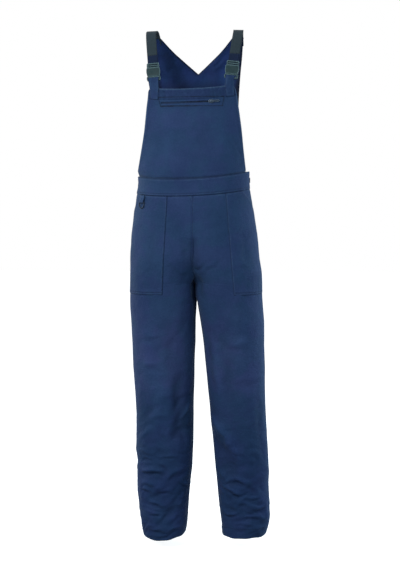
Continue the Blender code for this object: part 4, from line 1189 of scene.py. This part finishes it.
def lean_in(cloth, lean):
    """Behind the shoulder the webbing leans in, and is sewn to the outside of the back."""
    behind = rise(cloth.points[:, 1], -0.02, 0.04)
    sewn = rise(cloth.points[:, 1], 0.026, 0.012)
    crest = nearness(cloth.points[:, 2].max() - cloth.points[:, 2], 0.030)
    moved = cloth.points.copy()
    moved[:, 0] -= np.sign(moved[:, 0].mean()) * lean * behind
    moved[:, 1] += 0.0048 * sewn
    moved[:, 2] += 0.0012 * sewn + 0.0022 * crest**2
    cloth.move_to(moved)


def fill_slot(cloth, left, right):
    """The top of the tab bunches up and spreads in the buckle's slot. The tab is double cloth,
    painted darker all over as shade, and darker still at its top as painted shadow under the
    buckle.
    """
    down = cloth.points[:, 2].max() - cloth.points[:, 2]
    near = nearness(down, 0.012)
    share = (cloth.points[:, 0] - cloth.points[:, 0].mean()) / TAB_HALF
    moved = cloth.points.copy()
    spread = np.where(share < 0, left, right) * MM * nearness(down, 0.055)
    moved[:, 0] += spread * np.clip(share, -1, 1)
    moved[:, 1] += 0.0022 * near + 0.0005 * rise(down, 0.025, 0.01)
    moved[:, 2] += 0.0038 * near
    cloth.move_to(moved)
    # painted shade over the whole tab, and painted shadow under the buckle at its top
    note(cloth, "doubled", 0.5 + 0.8 * nearness(down, 0.018))


# ---------------------------------------------------------------- finishes

WHITE = (1.0, 1.0, 1.0, 1.0)


class Finish:
    """A material with short ways to add its nodes."""

    def __init__(self, name):
        self.made = bpy.data.materials.new(name)
        self.made.use_nodes = True
        self.tree = self.made.node_tree
        self.shader = self.tree.nodes["Principled BSDF"]

    def add(self, kind, **settings):
        node = self.tree.nodes.new("ShaderNode" + kind)
        for key, value in settings.items():
            setattr(node, key, value)
        return node

    def join(self, source, target):
        self.tree.links.new(source, target)

    def feed(self, socket, value):
        if isinstance(value, (int, float, tuple)):
            socket.default_value = value
        else:
            self.join(value, socket)

    def math(self, operation, a, b=0.0, c=0.0):
        node = self.add("Math", operation=operation)
        for socket, value in zip(node.inputs, (a, b, c)):
            self.feed(socket, value)
        return node.outputs[0]

    def together(self, operation, first, *others):
        """Joins values one after another by one operation."""
        for other in others:
            first = self.math(operation, first, other)
        return first

    def total(self, *values):
        return self.together("ADD", *values)

    def times(self, *values):
        return self.together("MULTIPLY", *values)

    def span(self, value, low, high, start=0.0, end=1.0):
        """Smoothly from a start to an end, as a value goes from low to high."""
        node = self.add("MapRange", interpolation_type="SMOOTHSTEP")
        for socket, given in zip(node.inputs, (value, low, high, start, end)):
            self.feed(socket, given)
        return node.outputs[0]

    def noise(self, places, scale, detail=2.0, roughness=0.5):
        node = self.add("TexNoise")
        self.join(places, node.inputs["Vector"])
        node.inputs["Scale"].default_value = scale
        node.inputs["Detail"].default_value = detail
        node.inputs["Roughness"].default_value = roughness
        return node.outputs["Fac"]

    def stretch(self, places, scale):
        node = self.add("VectorMath", operation="MULTIPLY")
        self.join(places, node.inputs[0])
        node.inputs[1].default_value = scale
        return node.outputs[0]

    def ribs(self, places, way, period):
        node = self.add("VectorMath", operation="DOT_PRODUCT")
        self.join(places, node.inputs[0])
        turns = 2 * math.pi / period
        node.inputs[1].default_value = (way[0] * turns, way[1] * turns, 0.0)
        return self.math("SINE", node.outputs["Value"])

    def mix(self, share, a, b, blend="MIX"):
        node = self.add("Mix", data_type="RGBA", blend_type=blend)
        for name, value in (("Factor", share), ("A", a), ("B", b)):
            sockets = [s for s in node.inputs if s.name == name and s.enabled]
            self.feed(sockets[0], value)
        return [s for s in node.outputs if s.enabled][0]

    def between(self, share, dark, light):
        return self.mix(share, (*dark, 1.0), (*light, 1.0))

    def tinted(self, colour, tint):
        return self.mix(1.0, colour, tint, "MULTIPLY")

    def zone(self, colour, share, tint):
        """Tints a colour where a share says so."""
        return self.tinted(colour, self.mix(share, WHITE, (*tint, 1.0)))

    def shaded(self, colour, light):
        """A colour made darker or lighter alike in all its parts."""
        grey = self.add("CombineColor")
        for socket in grey.inputs[:3]:
            self.join(light, socket)
        return self.tinted(colour, grey.outputs["Color"])

    def pattern(self):
        return self.add("UVMap", uv_map="pattern").outputs["UV"]

    def body(self):
        return self.add("TexCoord").outputs["Object"]

    def read(self, name):
        return self.add("Attribute", attribute_name=name).outputs["Fac"]

    def paint(self, colour):
        self.join(colour, self.shader.inputs["Base Color"])

    def relief(self, height):
        bump = self.add("Bump")
        bump.inputs["Strength"].default_value = 1.0
        bump.inputs["Distance"].default_value = 1.0
        self.join(height, bump.inputs["Height"])
        self.join(bump.outputs["Normal"], self.shader.inputs["Normal"])

    def set(self, **values):
        for key, value in values.items():
            socket = key.replace("_", " ").title().replace("Ior", "IOR")
            self.shader.inputs[socket].default_value = value


class Sewing:
    """What a cloth finish reads off its piece: how far each place is from its sewing."""

    def __init__(self, finish, places):
        self.edge = finish.read("from_edge")
        rows = [finish.math("ABSOLUTE", finish.read("past_row_%d" % i)) for i in (1, 2)]
        self.welt = finish.math("ABSOLUTE", finish.read("past_frame"))
        self.drawn = finish.read("past_drawn")
        self.stitch = finish.together("MINIMUM", *rows, self.welt, self.drawn)
        self.roll = finish.read("from_roll")
        self.doubled = finish.read("doubled")
        self.rumples = finish.noise(finish.stretch(places, (120.0, 45.0, 1.0)), 1.0, 3.0, 0.6)


def twill_colour(finish, places, body, dark, light):
    """Blue that varies with the weave and wear, and turns slightly warmer and colder."""
    mottle = finish.noise(body, 9.0, 4.0, 0.6)
    slub = finish.noise(finish.stretch(places, (900.0, 60.0, 1.0)), 1.0, 2.0)
    fleck = finish.noise(places, 190.0, 3.0, 0.65)
    tone = finish.total(
        finish.times(mottle, 0.55), finish.times(slub, 0.15), finish.times(fleck, 0.30)
    )
    colour = finish.between(finish.span(tone, 0.36, 0.64), dark, light)
    cast = finish.span(finish.noise(body, 15.0, 3.0, 0.6), 0.38, 0.62)
    return finish.tinted(colour, finish.between(cast, (1.10, 0.97, 1.03), (0.88, 1.03, 0.97)))


def twill_height(finish, places, body):
    """The steep ribs of the twill, on cloth that is crumpled, rubbed and grained."""
    twill = finish.ribs(places, (0.90, -0.44), 1.3 * MM)
    crumple = finish.noise(body, 42.0, 4.0, 0.6)
    rub = finish.noise(finish.stretch(places, (150.0, 330.0, 1.0)), 1.0, 3.0, 0.6)
    grain = finish.noise(finish.stretch(places, (700.0, 260.0, 1.0)), 1.0, 3.0, 0.7)
    return finish.total(
        finish.times(twill, 0.03 * MM),
        finish.times(crumple, 2.2 * MM),
        finish.times(rub, 0.9 * MM),
        finish.times(grain, 0.3 * MM),
    )


def painted_seam_shade(finish, places, sewing, wrong):
    """Painted shade: how much light is left at the edges, down in the stitching, along the zip's
    frame and in the fold troughs, with painted highlight on the fold ridges.
    """
    sunk = finish.span(sewing.stitch, 0.3 * MM, 1.4 * MM, 0.80, 1.0)
    broken = finish.span(finish.noise(places, 42.0, 2.0), 0.38, 0.62, 0.44, 0.80)
    welt = finish.span(sewing.welt, 0.4 * MM, 2.4 * MM, broken, 1.0)
    drawn = finish.span(sewing.drawn, 0.4 * MM, 2.0 * MM, 0.79, 1.0)
    if wrong:
        deep = finish.math("SUBTRACT", 1.0, finish.read("inner_shadow"))
    else:
        # painted shade along the edges
        deep = finish.span(sewing.edge, 0.2 * MM, 1.8 * MM, 0.72, 1.0)
        rolled = finish.span(sewing.roll, 1.2 * MM, 0.4 * MM, 0.0, 0.85)
        deep = finish.math("MAXIMUM", deep, rolled)
    # painted shade in the fold troughs, painted highlight on the fold ridges
    folds = finish.span(finish.read("fold_lift"), -5.0 * MM, 4.5 * MM, 0.84, 1.10)
    return finish.times(deep, finish.times(sunk, welt, drawn), folds)


def worn_edges_and_highlight(finish, body, sewing, wrong):
    """How pale the edges are rubbed, in patches, plus a painted highlight all along the rolled
    ones.
    """
    near = finish.span(sewing.edge, 1.0 * MM, 2.2 * MM)
    far = finish.span(sewing.edge, 7.0 * MM, 2.5 * MM)
    patches = finish.span(finish.noise(body, 60.0, 3.0), 0.35, 0.7, 0.05, 0.28)
    worn = finish.times(near, far, patches)
    if wrong:
        return worn
    # painted highlight along the rolled edges
    inner = finish.span(sewing.roll, 4.6 * MM, 3.2 * MM)
    outer = finish.span(sewing.roll, 0.0, 1.0 * MM, 0.6, 1.0)
    return finish.math("MAXIMUM", worn, finish.times(inner, outer))


def tinted_zones(finish, sewing, colour):
    """Painted shade makes the doubled band and the tabs duller and the lower legs darker; the knees
    are paler.
    """
    patchy = finish.span(sewing.rumples, 0.3, 0.7, 0.45, 1.45)
    colour = finish.zone(colour, finish.times(sewing.doubled, patchy), (0.55, 0.65, 0.74))
    colour = finish.zone(colour, finish.read("knee"), (1.50, 1.14, 1.16))
    return finish.zone(colour, finish.read("low"), (0.80, 0.86, 0.96))


def sewn_height(finish, places, sewing, height):
    """Stitching draws the cloth down and puckers it, and a rolled edge bulges."""
    pull = finish.span(sewing.stitch, 0.0, 2.6 * MM, -0.3 * MM, 0.0)
    rumpled = finish.times(sewing.rumples, sewing.doubled, 2.2 * MM)
    across = finish.math("DIVIDE", finish.math("SUBTRACT", sewing.roll, 1.8 * MM), 1.9 * MM)
    round_part = finish.math("SUBTRACT", 1.0, finish.math("POWER", across, 2.0))
    bulge = finish.math("SQRT", finish.math("MAXIMUM", round_part, 0.0))
    close = finish.span(sewing.stitch, 0.0, 11.0 * MM, 1.1 * MM, 0.0)
    puckers = finish.times(finish.noise(places, 130.0, 2.0), close)
    return finish.total(height, pull, rumpled, finish.times(bulge, 1.1 * MM), puckers)


def gabardine(name, dark, light, seams=True, wrong=False):
    """Steep fine twill with a dull bloom, paler where seams rub, with a painted highlight on rolled
    edges and painted shade down in the seams and folds.
    """
    finish = Finish(name)
    places, body = finish.pattern(), finish.body()
    colour = twill_colour(finish, places, body, dark, light)
    height = twill_height(finish, places, body)
    if seams:
        sewing = Sewing(finish, places)
        # pale colour of the rubbed edges and of the painted highlight along rolled edges
        rubbed = (light[0] * 3.2, light[1] * 2.5, light[2] * 1.8, 1.0)
        colour = finish.mix(worn_edges_and_highlight(finish, body, sewing, wrong), colour, rubbed)
        colour = finish.shaded(colour, painted_seam_shade(finish, places, sewing, wrong))
        colour = tinted_zones(finish, sewing, colour)
        height = sewn_height(finish, places, sewing, height)
    finish.paint(colour)
    finish.relief(height)
    finish.set(roughness=0.82, sheen_weight=0.14, sheen_roughness=0.35, specular_ior_level=0.2)
    finish.set(sheen_tint=(0.45, 0.65, 1.0, 1.0))
    return finish.made


def sewing_thread():
    finish = Finish("navy_thread")
    tone = finish.noise(finish.body(), 900.0, 2.0)
    finish.paint(finish.between(tone, (0.008, 0.020, 0.060), (0.020, 0.042, 0.100)))
    finish.set(roughness=0.7, specular_ior_level=0.2)
    return finish.made


def elastic_webbing():
    """Woven elastic: fine ribs along its length, crossed by its picks."""
    finish = Finish("olive_webbing")
    places = finish.pattern()
    lengthwise = finish.ribs(places, (1.0, 0.0), 2.1 * MM)
    picks = finish.ribs(places, (0.0, 1.0), 1.2 * MM)
    weave = finish.times(lengthwise, finish.math("MULTIPLY_ADD", picks, 0.35, 0.65))
    tone = finish.noise(finish.stretch(places, (500.0, 120.0, 1.0)), 1.0, 3.0)
    share = finish.math("MULTIPLY_ADD", weave, 0.25, finish.times(tone, 0.8))
    colour = finish.between(share, (0.003, 0.010, 0.016), (0.012, 0.033, 0.047))
    # painted shade: darker towards both edges
    edge = finish.span(finish.read("from_edge"), 0.0, 2.0 * MM, 0.55, 1.0)
    finish.paint(finish.shaded(colour, edge))
    finish.relief(finish.times(weave, 0.12 * MM))
    finish.set(roughness=0.75, sheen_weight=0.1, specular_ior_level=0.3)
    return finish.made


def moulded_plastic(name, dark, light, roughness=0.42):
    finish = Finish(name)
    body = finish.body()
    finish.paint(finish.between(finish.noise(body, 160.0, 3.0), dark, light))
    finish.relief(finish.times(finish.noise(body, 1400.0, 2.0), 0.03 * MM))
    scuffs = finish.noise(body, 90.0, 3.0)
    rough = finish.span(scuffs, 0.3, 0.7, roughness - 0.08, roughness + 0.1)
    finish.join(rough, finish.shader.inputs["Roughness"])
    finish.set(specular_ior_level=0.25)
    return finish.made


def zip_metal(name, dark, light):
    finish = Finish(name)
    tone = finish.noise(finish.stretch(finish.body(), (1.0, 1.0, 6.0)), 260.0, 3.0)
    finish.paint(finish.between(tone, dark, light))
    finish.join(finish.span(tone, 0.2, 0.8, 0.28, 0.5), finish.shader.inputs["Roughness"])
    finish.set(metallic=0.85)
    return finish.made


# ---------------------------------------------------------------- camera, light and floor


def place_camera(scene):
    turn = math.radians(CAMERA_TURN)
    data = bpy.data.cameras.new("camera")
    data.sensor_width = 36.0
    data.lens = 36.0 * FOCAL_PIXELS / PHOTO_HEIGHT
    data.shift_x = CAMERA_SHIFT / PHOTO_HEIGHT
    camera = add_object("camera", data)
    across, away = CAMERA_AWAY * math.sin(turn), CAMERA_AWAY * math.cos(turn)
    camera.location = (across, -away, CAMERA_HEIGHT - SHOULDER)
    camera.rotation_euler = (math.radians(90 - CAMERA_DROP), 0.0, turn)
    scene.camera = camera


def light_world(scene):
    """White to look at, and a dim, slightly cold light on the garment."""
    world = bpy.data.worlds.new("studio")
    scene.world = world
    world.use_nodes = True
    tree = world.node_tree
    shown = tree.nodes["Background"]
    shown.inputs["Color"].default_value = WHITE
    shown.inputs["Strength"].default_value = 1.0
    ambient = tree.nodes.new("ShaderNodeBackground")
    ambient.inputs["Color"].default_value = (0.86, 0.93, 1.0, 1)
    ambient.inputs["Strength"].default_value = 0.38
    path = tree.nodes.new("ShaderNodeLightPath")
    mix = tree.nodes.new("ShaderNodeMixShader")
    tree.links.new(path.outputs["Is Camera Ray"], mix.inputs["Fac"])
    tree.links.new(ambient.outputs["Background"], mix.inputs[1])
    tree.links.new(shown.outputs["Background"], mix.inputs[2])
    tree.links.new(mix.outputs["Shader"], tree.nodes["World Output"].inputs["Surface"])


def hang_lamps():
    for name, spot, size, power, colour in LAMPS:
        light = bpy.data.lights.new(name, "AREA")
        light.size = size
        light.energy = power
        light.color = colour
        lamp = add_object(name, light)
        lamp.location = spot
        lamp.visible_camera = False
        aim = Vector(LAMPS_AIM) - Vector(spot)
        lamp.rotation_euler = aim.to_track_quat("-Z", "Y").to_euler()


def lay_floor():
    bm = bmesh.new()
    bmesh.ops.create_grid(bm, x_segments=1, y_segments=1, size=12.0)
    bmesh.ops.translate(bm, vec=(0, 0, -SHOULDER - FLOOR_BELOW), verts=bm.verts)
    floor = new_object("floor", bm)
    pale = Finish("pale_floor")
    pale.set(base_color=(0.9, 0.9, 0.9, 1), emission_color=WHITE)
    pale.set(roughness=0.9, emission_strength=0.8)
    floor.data.materials.append(pale.made)
    floor.visible_diffuse = False
    floor.visible_glossy = False


def studio():
    scene = bpy.context.scene
    scene.view_settings.view_transform = "Standard"
    scene.view_settings.look = "None"
    place_camera(scene)
    light_world(scene)
    hang_lamps()
    lay_floor()


# ---------------------------------------------------------------- assembly


def make_cloth(node):
    low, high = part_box(node)
    centre = Vector(((low.x + high.x) / 2, 0.0, (low.z + high.z) / 2))
    obj = new_object(node + "_cloth", outer_face(node, centre))
    lay_flat(obj, upright=True)
    round_off(obj, PANEL_LEVELS)
    return Cloth(obj)


def dress(cloth, node, thick, finishes, body="garment"):
    """Gives a piece of cloth its thickness and finish, in place of its solid."""
    wall = cloth.obj.modifiers.new("Thickness", "SOLIDIFY")
    wall.thickness = thick
    wall.offset = -1.0
    wall.material_offset = len(finishes) - 1
    mesh = cloth.obj.data
    mesh.materials.clear()
    for finish in finishes:
        mesh.materials.append(finish)
    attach(cloth.obj, body)
    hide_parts(node)


def shape(node, cloth):
    """Shapes one piece to its neighbours and to the garment's outline."""
    if "hip_pocket" in node or "waistband" in node:
        press(cloth)
    if node == "back_panel":
        tuck_foot(cloth)
        shape_neck(cloth)
    else:
        cloth.move_to(push_sides(cloth.points))
    if "_leg_" in node:
        close_seams(node, cloth)
        close_thighs(cloth)
        hem_roll(cloth)
    if node == "bib":
        round_corners(cloth)
    if node in SEWN_IN:
        run_behind_band(node, cloth)


def make_garment(outside, wrong_side):
    cloths = {node: make_cloth(node) for node in PANELS}
    before = {node: cloth.points.copy() for node, cloth in cloths.items()}
    for seed, (node, cloth) in enumerate(cloths.items()):
        slack(cloth, seed * SEED_STEP, SLACK.get(node, LEAST_SLACK))
        crease(node, cloth)
    for side in SIDES:
        leg = "front_leg_" + side
        lie_on(cloths["hip_pocket_" + side], cloths[leg], before[leg])
    for node, cloth in cloths.items():
        shape(node, cloth)
        topstitch(node, cloth)
        note_seams(cloth)
    note_inner_shadow(cloths["back_panel"])
    for node, cloth in cloths.items():
        dress(cloth, node, PANELS[node], (outside, wrong_side))
    sew("topstitching", cloths.values(), sewing_thread())
    return cloths


def make_narrow(node, finish, centre, thick):
    """A narrow strip of cloth or webbing, or a flat piece behind others."""
    obj = new_object(node + "_strip", outer_face(node, centre))
    lay_flat(obj, upright=False)
    round_off(obj, STRIP_LEVELS)
    cloth = Cloth(obj)
    if node in SPREAD:
        fill_slot(cloth, *SPREAD[node])
    if node in LEAN:
        lean_in(cloth, LEAN[node] * MM)
    note_seams(cloth)
    dress(cloth, node, thick, (finish,))
    return cloth


def make_trimmings(outside):
    # the strap ends' navy is darkened with painted shade
    strap_cloth = gabardine("strap_gabardine_shaded", *STRAP_SHADED_BLUE, seams=False)
    zip_cloth = gabardine("zip_cloth", *ZIP_BLUE, seams=False)
    webbing = elastic_webbing()
    strips = {}
    for side in SIDES:
        for node, finish, slot_name, centre, thick in (
            ("webbing_" + side, webbing, "webbing", BELOW_STRAPS, 1.6 * MM),
            ("strap_end_" + side, strap_cloth, "gabardine", BELOW_STRAPS, 1.8 * MM),
            ("strap_tab_" + side, outside, "gabardine", middle_of("strap_tab_" + side), 1.2 * MM),
        ):
            strips[node] = make_narrow(node, finish, centre, thick)
    for node, finish, slot_name, centre, thick in (
        ("ring_tab", outside, "gabardine", middle_of("ring_tab"), 0.8 * MM),
        ("zip_tape", zip_cloth, "zip_cloth", INSIDE_CHEST, 0.7 * MM),
        ("zip_pocket_bag", zip_cloth, "zip_cloth", INSIDE_CHEST, 0.8 * MM),
    ):
        strips[node] = make_narrow(node, finish, centre, thick)
    return strips


def inset_rim(bm, node, rim):
    """Marks the rim round the front faces of a buckle for its paler finish, a painted highlight:
    all round the right buckles, and on the left ones all but their lower left.
    """
    bm.normal_update()
    front = [face for face in bm.faces if face.normal.y < -0.8]
    middle = middle_of(node)
    for face in bmesh.ops.inset_region(bm, faces=front, thickness=rim)["faces"]:
        where = face.calc_center_median() - middle
        if where.x > -0.006 or where.z > 0.008 or "right" in node:
            face.material_index = 2


def moulded(node, finishes, body="garment", round_edge=0.75 * MM, rim=0.0):
    """A hard piece from its solid. Its finishes: faces, rounded edges, and rim if it has one."""
    bm = merged_copy(node)
    flat = math.radians(2)
    bmesh.ops.dissolve_limit(
        bm, angle_limit=flat, verts=bm.verts, edges=bm.edges, use_dissolve_boundaries=False
    )
    if rim:
        inset_rim(bm, node, rim)
    obj = new_object(node + "_moulded", bm)
    for finish in finishes:
        obj.data.materials.append(finish)
    rounding = obj.modifiers.new("Rounded", "BEVEL")
    rounding.limit_method = "ANGLE"
    rounding.angle_limit = math.radians(35)
    rounding.width = round_edge
    rounding.segments = 2
    # the rounded edges take the second finish: on the buckles a painted highlight, on the zip worn
    # nickel with painted highlight
    rounding.material = 1
    settled(obj)
    obj.data.shade_smooth()
    obj.data.set_sharp_from_angle(angle=math.radians(32))
    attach(obj, body)
    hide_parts(node)
    return obj


def ring_of_wire(finish):
    """The bent ring, rounded off from its solid."""
    bm = merged_copy("d_ring")
    into_cells(bm, math.radians(50))
    obj = new_object("d_ring_bent", bm)
    obj.data.materials.append(finish)
    smooth = obj.modifiers.new("Round", "SUBSURF")
    smooth.levels = smooth.render_levels = 2
    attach(obj, "ring")
    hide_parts("d_ring")


def lay_teeth(tape, metal):
    """The closed teeth of the zip, one small block each, turn about from both sides."""
    run = tape.spots([(across, ZIP_HEIGHT) for across in range(*TEETH_RUN)])
    middles, turns = [], []
    for i, (place, place_ahead) in enumerate(zip(*evenly(run, TOOTH_STEP))):
        point, out = tape.on_body(*place)
        beyond, _ = tape.on_body(*place_ahead)
        along = (beyond - point).normalized()
        across = out.cross(along).normalized()
        turns.append(Matrix((along * 0.42 * MM, across * 1.25 * MM, out * 0.60 * MM)))
        middles.append(point + across * (0.7 if i % 2 else -0.7) * MM + out * 0.3 * MM)
    obj = beads("zip_teeth", middles, turns)
    obj.data.materials.append(metal)
    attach(obj, "garment")


def fit_buckles():
    finishes = (
        moulded_plastic("buckle_plastic", (0.0060, 0.0210, 0.0260), (0.0110, 0.0350, 0.0400)),
        # paler rounded edges and rims: painted highlight
        moulded_plastic("buckle_edge_highlight", (0.160, 0.260, 0.290), (0.260, 0.400, 0.440), 0.5),
        moulded_plastic("buckle_rim_highlight", (0.065, 0.125, 0.145), (0.125, 0.205, 0.230), 0.5),
    )
    for half in ("buckle_socket_", "buckle_plug_"):
        for side in SIDES:
            moulded(half + side, finishes, rim=0.8 * MM)


def sew_on_buttons():
    plastic = moulded_plastic("button_plastic", (0.004, 0.014, 0.048), (0.008, 0.022, 0.064), 0.6)
    for side in SIDES:
        node = "side_button_" + side
        button = moulded(node, (plastic, plastic), round_edge=0.6 * MM)
        points = push_sides(points_of(button.data))
        points[:, 0] -= np.sign(points[:, 0].mean()) * BUTTON_SUNK
        put_points(button.data, points)


def fit_zip(tape):
    metal = zip_metal("dark_nickel", (0.016, 0.026, 0.044), (0.055, 0.075, 0.105))
    # paler nickel on the rounded edges: wear, with a painted highlight
    bright = zip_metal("worn_nickel_highlight", (0.12, 0.18, 0.26), (0.32, 0.42, 0.54))
    for node, body in (("zip_slider", "garment"), ("zip_pull", "pull_tab")):
        moulded(node, (metal, bright), body, round_edge=0.35 * MM)
    lay_teeth(tape, metal)


def main():
    outside = gabardine("navy_gabardine", *NAVY)
    wrong_side = gabardine("gabardine_wrong_side", *INNER_BLUE, wrong=True)
    cloths = make_garment(outside, wrong_side)
    strips = make_trimmings(outside)
    fit_buckles()
    sew_on_buttons()
    ring_of_wire(moulded_plastic("ring_plastic", (0.006, 0.016, 0.036), (0.012, 0.028, 0.055)))
    fit_zip(strips["zip_tape"])
    studio()


main()
